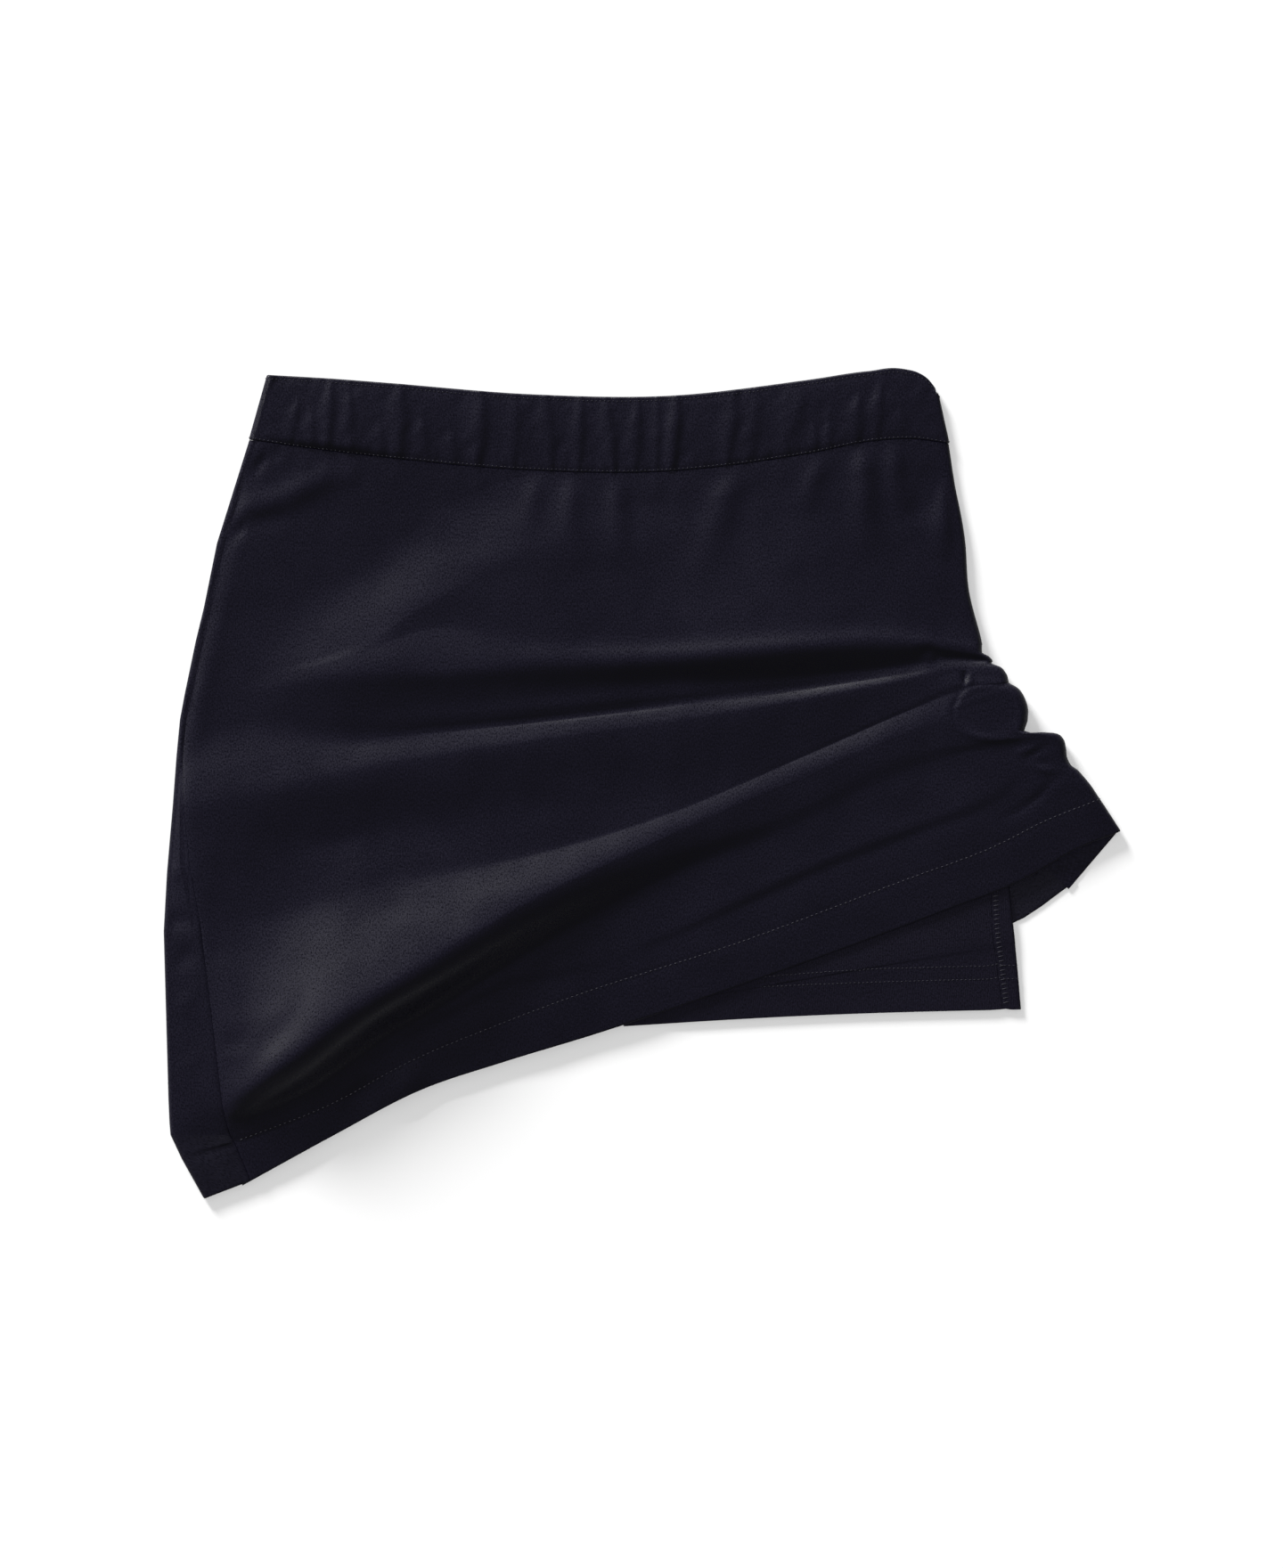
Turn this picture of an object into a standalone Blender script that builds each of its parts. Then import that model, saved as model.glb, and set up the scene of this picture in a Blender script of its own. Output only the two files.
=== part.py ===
"""Chino skort laid flat on a table: skirt over inner shorts, one elastic waistband.

Lengths in the tables are millimetres, +X right, +Y towards the waistband, +Z up, table at z = 0.
Every cloth layer is worked out as a middle surface and given its wall along the normals.
"""
import bpy
import numpy as np

MM = 0.001                # metres in a millimetre
WALL = 1.0                # cloth wall
BAND_WALL = 2.4           # waistband wall, cloth folded over elastic
SEAM_GAP = 0.3            # space left between sewn pieces
TABLE_LAYER = 0.5         # height of the middle of the layer that lies on the table
LEFT_FOLD_TOP = 4.4       # height of the layer that the back panel turns up on at the left
BAND_FRONT, BAND_BACK = 4.2, 1.2      # heights of the middle of the two waistband layers
SHORTS_FRONT, SHORTS_BACK = 3.1, 1.8  # heights of the middle of the shorts' two layers
LOWEST_FRONT = 4.45       # the skirt front never sinks below this over the shorts
WAIST_SET_IN = 1.3        # the shorts' upper edges end this far below the waistband
GATHERS = 25              # gathers across the front of the waistband
GATHER_RISE = 0.6

# where along a line of the front panel its ten stations stand, 0 = left seam, 1 = right fold
STATIONS = (0.0, 0.1, 0.2, 0.3, 0.4, 0.6, 0.8, 0.9, 0.95, 1.0)

# the lines of the skirt from waist to hem, each crossing the front panel from left to right:
#  name, (steepness above: left, right), (steepness below: left, right), left fold (x, y),
#  the ten stations (x, y, z), seam under the right fold (x, y)
FRONT_LINES = (
    ("waist", (0, 0), (0, 1.3), (-219.6, 192.6),
     (-216.8, 192.2, 4.4), (-180.0, 186.9, 4.4), (-140.8, 182.2, 4.4), (-102.0, 178.0, 4.4),
     (-62.8, 175.4, 4.4), (14.8, 174.8, 4.4), (92.8, 184.6, 4.4), (131.8, 192.0, 4.4),
     (152.0, 193.0, 4.4), (171.6, 190.4, 4.2), (164.8, 190.0)),
    ("slant_foot", (0.8, 0.8), (0.1, 0.6), (-237.2, 134.6),
     (-234.4, 134.4, 4.7), (-203.0, 108.0, 4.8), (-156.0, 122.0, 4.7), (-111.0, 154.0, 4.5),
     (-66.0, 172.0, 4.5), (14.8, 154.0, 4.9), (93.5, 168.0, 5.8), (134.0, 168.0, 5.4),
     (155.0, 170.0, 5.2), (175.0, 168.0, 4.7), (169.0, 166.0)),
    ("slant_crest", (0.7, 0.8), (0.8, 0.8), (-244.6, 98.2),
     (-241.8, 98.0, 4.7), (-217.0, 66.0, 5.6), (-161.0, 77.0, 12.2), (-114.0, 105.0, 12.2),
     (-67.0, 130.0, 11.2), (14.6, 126.0, 7.2), (94.6, 134.0, 9.4), (136.5, 134.0, 8.0),
     (158.0, 134.0, 7.2), (181.0, 134.0, 5.2), (172.4, 132.8)),
    ("foot_a", (0.8, 0.9), (1.0, 1.7), (-249.0, 80.2),
     (-246.2, 80.0, 4.8), (-218.5, 60.0, 5.6), (-163.0, 71.0, 13.2), (-118.0, 86.0, 12.4),
     (-77.0, 80.0, 13.2), (9.0, 78.0, 11.2), (92.5, 83.8, 12.0), (138.0, 86.5, 9.8),
     (163.0, 83.0, 8.4), (188.9, 79.0, 6.5), (176.5, 86.0)),
    ("crest_a", (0.5, 0.3), (0.8, 0.5), (-255.3, 50.4),
     (-252.5, 50.4, 5.0), (-221.0, 52.0, 5.6), (-165.0, 62.0, 14.4), (-121.0, 63.5, 17.0),
     (-78.0, 66.5, 17.0), (8.0, 69.5, 14.8), (94.0, 75.8, 15.4), (140.0, 78.5, 12.6),
     (166.0, 77.0, 10.2), (190.4, 73.4, 8.0), (177.8, 72.2)),
    ("lee_a", (0.8, 1.0), (0.8, 0.8), (-258.0, 36.0),
     (-255.2, 36.0, 4.9), (-222.0, 42.0, 5.2), (-166.0, 50.0, 12.4), (-121.0, 51.0, 13.8),
     (-76.0, 53.0, 13.0), (10.0, 57.0, 8.8), (96.0, 62.0, 6.8), (146.0, 67.0, 5.8),
     (170.0, 70.5, 5.8), (195.6, 69.4, 5.6), (179.2, 65.8)),
    ("dip_ab", (0.8, 0.8), (1.0, 1.3), (-260.0, 16.0),
     (-257.2, 16.0, 5.0), (-222.0, 31.0, 5.0), (-169.0, 25.5, 8.2), (-122.0, 28.5, 9.8),
     (-75.0, 33.0, 10.4), (10.0, 42.6, 8.6), (97.0, 53.6, 7.0), (148.0, 61.6, 7.0),
     (172.0, 65.4, 7.6), (196.4, 66.8, 7.2), (180.8, 58.8)),
    ("crest_b", (0.8, 0.5), (0.6, 0.5), (-262.2, -12.0),
     (-256.8, -12.0, 9.0), (-214.0, -5.0, 12.0), (-170.2, 4.6, 13.8), (-123.0, 13.4, 14.2),
     (-75.2, 21.0, 14.2), (9.8, 33.0, 11.4), (97.2, 47.8, 9.6), (147.2, 57.8, 8.3),
     (172.0, 62.6, 8.0), (203.8, 61.6, 8.2), (184.8, 51.8)),
    ("lee_b", (0.5, 0.5), (0.7, 0.7), (-266.0, -50.2),
     (-253.0, -48.0, 8.4), (-205.5, -40.0, 8.8), (-158.0, -29.0, 10.0), (-117.0, -23.5, 10.6),
     (-75.2, -16.0, 11.4), (9.8, -5.5, 10.2), (97.2, 21.5, 7.8), (149.8, 44.2, 8.0),
     (176.0, 55.4, 8.8), (205.0, 57.6, 9.0), (186.8, 44.8)),
    ("dip_bc", (0.8, 0.8), (0.75, 1.5), (-267.8, -83.0),
     (-247.0, -80.0, 6.4), (-205.5, -74.0, 9.0), (-160.0, -58.0, 13.0), (-118.0, -50.0, 12.8),
     (-75.2, -42.5, 12.9), (9.8, -18.8, 10.8), (97.2, 18.0, 7.4), (150.0, 41.0, 7.6),
     (178.0, 52.0, 8.4), (205.8, 56.2, 8.8), (188.8, 37.8)),
    ("crest_c", (0.7, 0.2), (0.7, 0.4), (-265.2, -176.0),
     (-235.8, -176.0, 6.8), (-201.0, -158.0, 28.0), (-160.6, -127.0, 31.8), (-118.0, -101.0, 29.6),
     (-75.2, -74.0, 23.6), (9.8, -32.0, 14.2), (97.2, 6.5, 10.1), (150.0, 28.5, 10.0),
     (181.0, 38.0, 10.0), (216.2, 40.5, 10.2), (195.8, 25.8)),
    ("brow_c", (0.8, 0.8), (1.3, 1.2), (-264.9, -183.0),
     (-234.4, -183.0, 5.8), (-195.0, -165.0, 23.0), (-153.0, -132.0, 28.0), (-112.0, -107.5, 25.6),
     (-71.0, -82.0, 20.6), (12.0, -42.0, 12.6), (95.0, -10.0, 9.5), (152.0, 17.5, 9.6),
     (186.0, 23.0, 9.6), (231.0, 28.2, 9.2), (198.5, 18.0)),
    ("dip_cd", (0.8, 0.8), (0.7, 0.5), (-264.6, -190.0),
     (-232.8, -190.0, 5.0), (-188.0, -172.0, 8.2), (-144.0, -141.0, 8.6), (-105.0, -118.0, 7.6),
     (-66.0, -94.0, 7.2), (14.0, -53.0, 7.4), (93.5, -21.0, 7.6), (155.0, 8.5, 8.0),
     (188.5, 18.0, 8.2), (237.4, 20.4, 8.2), (200.5, 10.0)),
    ("plain_d", (0.6, 0.6), (0.8, 0.8), (-264.0, -197.0),
     (-231.0, -196.0, 4.8), (-183.0, -178.5, 6.4), (-137.0, -148.0, 6.8), (-97.0, -127.0, 6.6),
     (-57.0, -106.5, 6.6), (27.0, -77.0, 6.8), (110.0, -38.0, 7.3), (172.0, -14.0, 7.8),
     (205.0, -2.0, 8.0), (247.0, 4.6, 7.6), (209.0, -8.0)),
    ("stitch", (0.8, 0.8), (0.8, 0.8), (-257.8, -210.2),
     (-228.4, -201.0, 4.6), (-178.0, -181.5, 5.6), (-130.2, -156.0, 6.0), (-85.0, -137.0, 6.0),
     (-40.2, -120.0, 6.0), (54.8, -89.0, 6.2), (149.8, -53.2, 6.4), (199.8, -34.2, 6.6),
     (227.0, -20.5, 6.8), (256.4, -8.6, 6.6), (225.8, -37.8)),
    ("hem", (0.8, 0.8), (0.5, 0.5), (-245.2, -232.8),
     (-219.2, -222.8, 4.2), (-171.5, -196.6, 4.6), (-125.2, -172.4, 4.9), (-77.5, -156.2, 5.0),
     (-30.2, -141.8, 5.0), (67.2, -109.0, 5.0), (164.8, -73.2, 5.0), (217.2, -52.2, 5.2),
     (243.5, -36.8, 5.6), (268.2, -26.8, 4.6), (243.2, -54.8)),
)
LINE = {row[0]: k for k, row in enumerate(FRONT_LINES)}

# outline of the right fold: last line passed, share of the way to the next, x, y
FOLD_END = (
    ("waist", 0.0, 171.6, 190.4), ("slant_foot", 0.0, 175.0, 168.0),
    ("slant_crest", 0.0, 181.0, 134.0), ("slant_crest", 0.5, 183.0, 108.0),
    ("foot_a", 0.0, 189.6, 82.0), ("foot_a", 0.6, 190.2, 77.0), ("crest_a", 0.0, 190.4, 73.2),
    ("crest_a", 0.4, 193.6, 71.4), ("lee_a", 0.0, 196.0, 69.2), ("dip_ab", 0.0, 196.6, 66.6),
    ("dip_ab", 0.4, 200.8, 65.0), ("crest_b", 0.0, 203.8, 61.6), ("lee_b", 0.0, 205.2, 57.2),
    ("dip_bc", 0.0, 206.4, 55.6), ("dip_bc", 0.3, 211.0, 52.8), ("dip_bc", 0.65, 214.6, 47.0),
    ("crest_c", 0.0, 216.2, 40.0), ("crest_c", 0.3, 215.2, 32.4), ("crest_c", 0.45, 213.8, 28.4),
    ("crest_c", 0.7, 222.0, 28.4), ("brow_c", 0.0, 230.6, 28.0), ("brow_c", 0.5, 235.8, 25.0),
    ("dip_cd", 0.0, 237.4, 19.6), ("dip_cd", 0.4, 238.4, 13.4), ("dip_cd", 0.6, 240.4, 9.8),
    ("dip_cd", 0.8, 244.0, 7.4), ("plain_d", 0.0, 247.4, 3.6), ("stitch", 0.0, 256.4, -8.8),
    ("hem", 0.0, 268.2, -26.8),
)

# the flat lobe at the right end of the lowest big fold: centre, half-lengths, turn, height, falls
EAR_CENTRE, EAR_HALF, EAR_TURN = (196.0, 41.0), (23.5, 16.5), -0.10
EAR_HEIGHT, EAR_FALL = 9.4, (-0.01, 0.0)

# soft ridges (+) and troughs (-) laid over the lines: name, path, half-width at both ends, rise
RIDGES = (
    ("gather by the slant", ((52.0, 178.0), (47.0, 160.0), (39.0, 136.0), (31.0, 108.0)), (9.0, 12.0), 0.8),
    ("side ridge", ((174.0, 170.0), (172.0, 150.0), (168.0, 126.0)), (8.0, 8.0), 1.3),
    ("hem bulge", ((-122.0, -157.0), (-132.0, -169.0), (-140.0, -184.0)), (9.0, 8.0), 2.2),
)

# the back panel's hem, from the right seam to the left fold, hidden where the front covers it
BACK_HEM = ((209.8, -77.8), (139.8, -90.8), (64.8, -104.8), (-10.2, -118.8), (-80.2, -142.8),
            (-140.2, -167.8), (-185.2, -195.2), (-219.2, -219.2))
# how much of the back hem's bow each line takes
BOW = {"hem": 1.0, "stitch": 0.9, "plain_d": 0.6, "dip_cd": 0.3, "brow_c": 0.22, "crest_c": 0.15}
# how much of the waistband's sag each line of the back panel takes
WAIST_BOW = {"waist": 1.0, "slant_foot": 0.7, "slant_crest": 0.45, "foot_a": 0.2}

# waistband edges from the left fold to the right fold: share of the way, x, y
BAND_LOWER = ((0.0, -219.6, 192.8), (0.1, -180.0, 187.2), (0.2, -140.8, 182.5), (0.4, -62.8, 175.7),
              (0.6, 14.8, 175.1), (0.8, 92.8, 184.9), (0.9, 131.8, 192.3), (0.95, 152.0, 193.3),
              (1.0, 171.6, 190.8))
BAND_UPPER = ((0.0, -209.4, 229.2), (0.1, -175.0, 227.2), (0.2, -140.8, 224.6), (0.4, -62.8, 218.4),
              (0.6, 14.8, 217.5), (0.8, 92.8, 226.4), (0.9, 127.2, 231.4), (0.95, 145.6, 232.7),
              (0.98, 157.6, 229.8), (1.0, 164.8, 221.0))
# share of the band's height, half of its wall there
BAND_PROFILE = ((0.0, 1.2), (0.3, 1.2), (0.65, 1.2), (0.9, 1.15), (0.97, 0.85), (1.0, 0.45))

# legs: name, inner edge (x, y), outer fold (x, y), side seam's distance in from the fold, drop
SHORTS_RIGHT = (
    ("waist", (-15.1, 174.0), (162.8, 185.0), 3.0, 0.0),
    ("hip", (-15.1, 89.8), (179.8, 89.8), 3.0, 0.0),
    ("crotch", (-15.1, -25.2), (200.2, -17.8), 7.0, 0.0),
    ("at_back_hem", (-12.8, -119.6), (207.8, -79.0), 11.6, 0.0),
    ("half_down", (-11.8, -125.0), (209.2, -93.0), 11.2, 0.65),
    ("on_table", (-11.2, -130.6), (210.6, -108.0), 10.8, 1.3),
    ("edge", (-10.2, -136.2), (212.2, -126.8), 10.0, 1.3),
)
SHORTS_LEFT = (
    ("waist", (-15.4, 174.0), (-208.2, 185.0), 3.0, 0.0),
    ("hip", (-15.4, 89.8), (-232.2, 89.8), 3.0, 0.0),
    ("crotch", (-15.4, -25.2), (-244.2, -17.8), 7.0, 0.0),
    ("edge", (-22.8, -134.2), (-247.2, -126.8), 10.0, 0.0),
)

# node name, cloth colour, roughness
LOOKS = {
    "waistband": ((0.0125, 0.0120, 0.0175), 0.72),
    "skirt_front": ((0.0120, 0.0115, 0.0170), 0.68),
    "skirt_back": ((0.0118, 0.0113, 0.0168), 0.69),
    "shorts_right_front": ((0.0112, 0.0108, 0.0158), 0.80),
    "shorts_right_back": ((0.0110, 0.0106, 0.0156), 0.80),
    "shorts_left_front": ((0.0112, 0.0108, 0.0160), 0.80),
    "shorts_left_back": ((0.0110, 0.0106, 0.0158), 0.80),
}


def spline(knots, values, at):
    """Smooth curve through values at knots, with tangents from the neighbouring spans."""
    knots = np.asarray(knots, float)
    values = np.asarray(values, float)
    extra = (None,) * (values.ndim - 1)
    span = np.diff(knots)
    slope = np.diff(values, axis=0) / span[(slice(None),) + extra]
    tangent = np.empty_like(values)
    tangent[0], tangent[-1] = slope[0], slope[-1]
    left, right = span[:-1], span[1:]
    weight = (slice(None),) + extra
    tangent[1:-1] = (slope[:-1] * right[weight] + slope[1:] * left[weight]) / (left + right)[weight]
    k = np.clip(np.searchsorted(knots, at, side="right") - 1, 0, len(knots) - 2)
    width = span[k][weight]
    f = ((at - knots[k]) / span[k])[weight]
    return ((2 * f**3 - 3 * f**2 + 1) * values[k] + (f**3 - 2 * f**2 + f) * width * tangent[k]
            + (3 * f**2 - 2 * f**3) * values[k + 1] + (f**3 - f**2) * width * tangent[k + 1])


def band_edge_at(x):
    """Height on the sheet (y) of the waistband's lower edge at x."""
    band = np.array(BAND_LOWER)
    edge = spline(band[:, 0], band[:, 1:], np.linspace(0, 1, 200))
    return np.interp(x, edge[:, 0], edge[:, 1])


def smooth_step(t):
    t = np.clip(t, 0.0, 1.0)
    return t * t * (3 - 2 * t)


def ridge_field(x, y, path, widths):
    """A rounded ridge of height 1 along a path, dying out at both ends."""
    p = np.asarray(path, float)
    run = np.r_[0, np.cumsum(np.hypot(*np.diff(p, axis=0).T))]
    best = np.full(x.shape, 1e9)
    along = np.zeros(x.shape)
    for i in range(len(p) - 1):
        step = p[i + 1] - p[i]
        length = np.hypot(*step)
        t = np.clip(((x - p[i, 0]) * step[0] + (y - p[i, 1]) * step[1]) / length**2, 0, 1)
        away = np.hypot(x - p[i, 0] - t * step[0], y - p[i, 1] - t * step[1])
        along = np.where(away < best, (run[i] + t * length) / run[-1], along)
        best = np.minimum(away, best)
    width = widths[0] * (1 - along) + widths[1] * along
    return np.exp(-(best / width)**2) * np.sin(np.pi * along)**0.8


def fold_outline(v):
    """Outline of the right fold at the places v: a smooth curve through FOLD_END."""
    at = [LINE[name] + share for name, share, _, _ in FOLD_END]
    return spline(at, np.array([row[2:] for row in FOLD_END]), np.asarray(v, float))


def flat_lobe(x, y, z):
    """Blend the heights towards the slightly falling plane of the lobe inside its ellipse."""
    dx, dy = x - EAR_CENTRE[0], y - EAR_CENTRE[1]
    along = (dx * np.cos(EAR_TURN) + dy * np.sin(EAR_TURN)) / EAR_HALF[0]
    across = (dy * np.cos(EAR_TURN) - dx * np.sin(EAR_TURN)) / EAR_HALF[1]
    share = smooth_step((1.0 - np.hypot(along, across)) / 0.22)
    plane = EAR_HEIGHT + EAR_FALL[0] * dx + EAR_FALL[1] * dy
    return z * (1 - share) + plane * share


def front_surface(u, v):
    """Top surface of the front panel: u across, v down in whole lines; returns (v, u, xyz)."""
    lines = np.array([spline(STATIONS, np.array(row[4:14]), u) for row in FRONT_LINES])
    above = np.array([row[1] for row in FRONT_LINES], float)
    below = np.array([row[2] for row in FRONT_LINES], float)
    k = np.clip(np.asarray(v, int), 0, len(FRONT_LINES) - 2)
    f = (np.asarray(v) - k)[:, None]
    plan = lines[k, :, :2] * (1 - f)[..., None] + lines[k + 1, :, :2] * f[..., None]
    z0, z1 = lines[k, :, 2], lines[k + 1, :, 2]
    to_right = np.clip((u - 0.2) / 0.5, 0, 1)[None, :]
    leave = (below[k, :1] * (1 - to_right) + below[k, 1:] * to_right) * (z1 - z0)
    arrive = (above[k + 1, :1] * (1 - to_right) + above[k + 1, 1:] * to_right) * (z1 - z0)
    z = ((2 * f**3 - 3 * f**2 + 1) * z0 + (f**3 - 2 * f**2 + f) * leave
         + (3 * f**2 - 2 * f**3) * z1 + (f**3 - f**2) * arrive)
    shift = fold_outline(v) - plan[:, -1]
    plan = plan + smooth_step((u - 0.9) / 0.1)[None, :, None] * shift[:, None, :]
    z = flat_lobe(plan[..., 0], plan[..., 1], z)
    inside = smooth_step(u / 0.04)[None, :] * smooth_step((1 - u) / 0.04)[None, :]
    for name, path, widths, rise in RIDGES:
        z = z + rise * inside * ridge_field(plan[..., 0], plan[..., 1], path, widths)
    over = z - LOWEST_FRONT
    z = np.where(inside > 0, LOWEST_FRONT + 0.5 * (over + np.sqrt(over**2 + 0.2)), z)
    return np.dstack([plan, z])


def half_turn(edge, outward, radius, z_from, z_to, count):
    """Points of a half circle that turns a layer over at an outer edge, ends left out."""
    angle = np.linspace(0, np.pi, count + 2)[1:-1]
    plan = (edge[:, None, :] - outward[:, None, :] * radius[:, None, None]
            * (1 - np.sin(angle))[None, :, None])
    middle = 0.5 * (z_from + z_to)[:, None]
    z = middle + 0.5 * (z_from - z_to)[:, None] * np.cos(angle)[None, :]
    return np.dstack([plan, z])


def between(start, end, count):
    """Straight rows of points from start to end, ends left out."""
    f = np.linspace(0, 1, count + 2)[1:-1][None, :, None]
    return start[:, None, :] * (1 - f) + end[:, None, :] * f


def at_height(plan, z):
    return np.column_stack([plan, np.broadcast_to(z, len(plan))])


def skirt_tube(v, u, turn, under, flat, strip):
    """The whole skirt as closed rounds, one per v, starting at the left seam.

    Round: front from the left seam, right turn, strip under it up to the right seam, back
    panel on the table, left turn, strip on top of the front side up to the left seam.
    Returns the points (v, round, xyz) and the column of the right seam.
    """
    top = front_surface(u, v)
    names = [row[0] for row in FRONT_LINES]

    def down(values):
        k = np.clip(np.asarray(v, int), 0, len(names) - 2)
        f = (v - k).reshape((-1,) + (1,) * (np.ndim(values) - 1))
        values = np.asarray(values, float)
        return values[k] * (1 - f) + values[k + 1] * f

    left_fold = down([row[3] for row in FRONT_LINES])
    seam_under = at_height(down([row[14] for row in FRONT_LINES]), TABLE_LAYER)
    low = np.full(len(v), TABLE_LAYER)

    fold = top[:, -1, :2].copy()
    outward = fold - top[:, int(np.searchsorted(u, 0.93)), :2]
    outward /= np.hypot(outward[:, 0], outward[:, 1])[:, None]
    radius = 0.5 * (top[:, -1, 2] - low)
    pull = smooth_step((u - 0.9) / 0.1)[None, :, None]
    top[..., :2] -= outward[:, None, :] * radius[:, None, None] * pull
    right_turn = half_turn(fold, outward, radius, top[:, -1, 2], low, turn)
    inner = at_height(fold - outward * radius[:, None], TABLE_LAYER)
    under_strip = np.concatenate([inner[:, None, :], between(inner, seam_under, under)], axis=1)

    seam = top[:, 0, :]
    out_left = left_fold - seam[:, :2]
    out_left /= np.hypot(out_left[:, 0], out_left[:, 1])[:, None]
    turned = np.minimum(seam[:, 2], LEFT_FOLD_TOP)
    width = np.linalg.norm(left_fold - seam[:, :2], axis=1)
    radius_left = np.minimum(0.5 * (turned - low), 0.7 * width)
    left_inner = at_height(left_fold - out_left * radius_left[:, None], TABLE_LAYER)
    left_upper = np.column_stack([left_inner[:, :2], turned])
    left_turn = half_turn(left_fold, out_left, radius_left, low, turned, turn)
    strip_rows = np.concatenate([left_upper[:, None, :], between(left_upper, seam, strip)], axis=1)

    back = between(seam_under, left_inner, flat)
    hem = np.vstack([seam_under[-1, :2], BACK_HEM, left_inner[-1, :2]])
    run = np.r_[0, np.cumsum(np.hypot(*np.diff(hem, axis=0).T))]
    share = np.linspace(0, 1, flat + 2)[1:-1]
    bow = spline(run / run[-1], hem, share) - (hem[0] + (hem[-1] - hem[0]) * share[:, None])
    back[..., :2] += down([BOW.get(name, 0.0) for name in names])[:, None, None] * bow[None]
    sag = band_edge_at(back[0, :, 0]) - WAIST_SET_IN / 2 - back[0, :, 1]
    back[..., 1] += down([WAIST_BOW.get(name, 0.0) for name in names])[:, None] * sag[None]

    parts = [top, right_turn, under_strip, seam_under[:, None, :], back,
             left_inner[:, None, :], left_turn, strip_rows]
    right_seam = top.shape[1] + right_turn.shape[1] + under_strip.shape[1]
    return np.concatenate(parts, axis=1), right_seam


def normals_of(grid, closed):
    """Unit normals of a grid of points, rows down, columns across."""
    if closed:
        across = np.roll(grid, -1, axis=1) - np.roll(grid, 1, axis=1)
    else:
        across = np.gradient(grid, axis=1)
    normal = np.cross(np.gradient(grid, axis=0), across)
    return normal / np.linalg.norm(normal, axis=2, keepdims=True)


def step_back(grid, column, towards, distance):
    """Move a column of points a short way towards its neighbour."""
    way = grid[:, towards] - grid[:, column]
    way /= np.linalg.norm(way, axis=1, keepdims=True)
    grid[:, column] += way * distance


def add_solid(name, vertices, faces):
    mesh = bpy.data.meshes.new(name)
    mesh.from_pydata((vertices * MM).tolist(), [], faces)
    mesh.update()
    body = bpy.data.objects.new(name, mesh)
    bpy.context.scene.collection.objects.link(body)
    colour, roughness = LOOKS[name]
    material = bpy.data.materials.new(name + "_cloth")
    material.use_nodes = True
    shader = material.node_tree.nodes["Principled BSDF"]
    shader.inputs["Base Color"].default_value = (*colour, 1.0)
    shader.inputs["Roughness"].default_value = roughness
    shader.inputs["Metallic"].default_value = 0.0
    mesh.materials.append(material)
    return body


def add_wall(name, middle, normal, half, closed=False):
    """Closed solid round a middle surface, with a half wall on each side of it."""
    rows, columns = middle.shape[:2]
    half = np.broadcast_to(np.reshape(half, (-1, 1, 1)), (rows, 1, 1))
    vertices = np.concatenate([(middle + normal * half).reshape(-1, 3),
                               (middle - normal * half).reshape(-1, 3)])
    index = np.arange(rows * columns).reshape(rows, columns)
    wrap = np.roll(index, -1, axis=1) if closed else index[:, 1:]
    start = index if closed else index[:, :-1]
    below = rows * columns

    def quads(a, b, c, d):
        return np.stack([a.ravel(), b.ravel(), c.ravel(), d.ravel()], axis=1)

    upper = quads(start[:-1], start[1:], wrap[1:], wrap[:-1])
    parts = [upper, upper[:, ::-1] + below,
             quads(start[0], wrap[0], wrap[0] + below, start[0] + below),
             quads(wrap[-1], start[-1], start[-1] + below, wrap[-1] + below)]
    if not closed:
        parts += [quads(index[1:, 0], index[:-1, 0], index[:-1, 0] + below, index[1:, 0] + below),
                  quads(index[:-1, -1], index[1:, -1], index[1:, -1] + below, index[:-1, -1] + below)]
    faces = np.concatenate(parts)
    triangles = np.concatenate([faces[:, [0, 1, 2]], faces[:, [0, 2, 3]]])
    a, b, c = (vertices[triangles[:, i]] for i in range(3))
    if np.einsum("ij,ij->i", a, np.cross(b, c)).sum() < 0:
        triangles = triangles[:, ::-1]
    return add_solid(name, vertices, triangles.tolist())


def make_skirt():
    v = []
    for k, line in enumerate(FRONT_LINES[:-1]):
        parts = 4 if line[0] in ("dip_bc", "crest_c", "dip_cd") else 2
        v += [k + i / parts for i in range(parts)]
    v = np.array(v + [len(FRONT_LINES) - 1.0])
    u = np.concatenate([np.linspace(0, 0.88, 34), np.linspace(0.88, 1.0, 10)[1:]])
    tube, right_seam = skirt_tube(v, u, turn=4, under=2, flat=13, strip=2)
    normal = -normals_of(tube, closed=True)
    if normal[2, 5, 2] < 0:
        normal = -normal
    front = tube[:, :right_seam + 1].copy()
    step_back(front, 0, 1, SEAM_GAP / 2)
    step_back(front, -1, -2, SEAM_GAP / 2)
    add_wall("skirt_front", front, normal[:, :right_seam + 1], WALL / 2)
    back = np.concatenate([tube[:, right_seam:], tube[:, :1]], axis=1)
    step_back(back, 0, 1, SEAM_GAP / 2)
    step_back(back, -1, -2, SEAM_GAP / 2)
    back_normal = np.concatenate([normal[:, right_seam:], normal[:, :1]], axis=1)
    add_wall("skirt_back", back, back_normal, WALL / 2)


def band_gathers(u):
    """Uneven soft gathers, 0 to 1, strongest across the middle of the front."""
    wave = 0.5 + 0.5 * np.sin(2 * np.pi * (GATHERS * u + 0.33 * np.sin(2 * np.pi * 2.3 * u + 0.7)))
    strength = 0.35 + 0.65 * smooth_step((u - 0.1) / 0.25) * smooth_step((1.02 - u) / 0.3)
    return wave * strength


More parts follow.
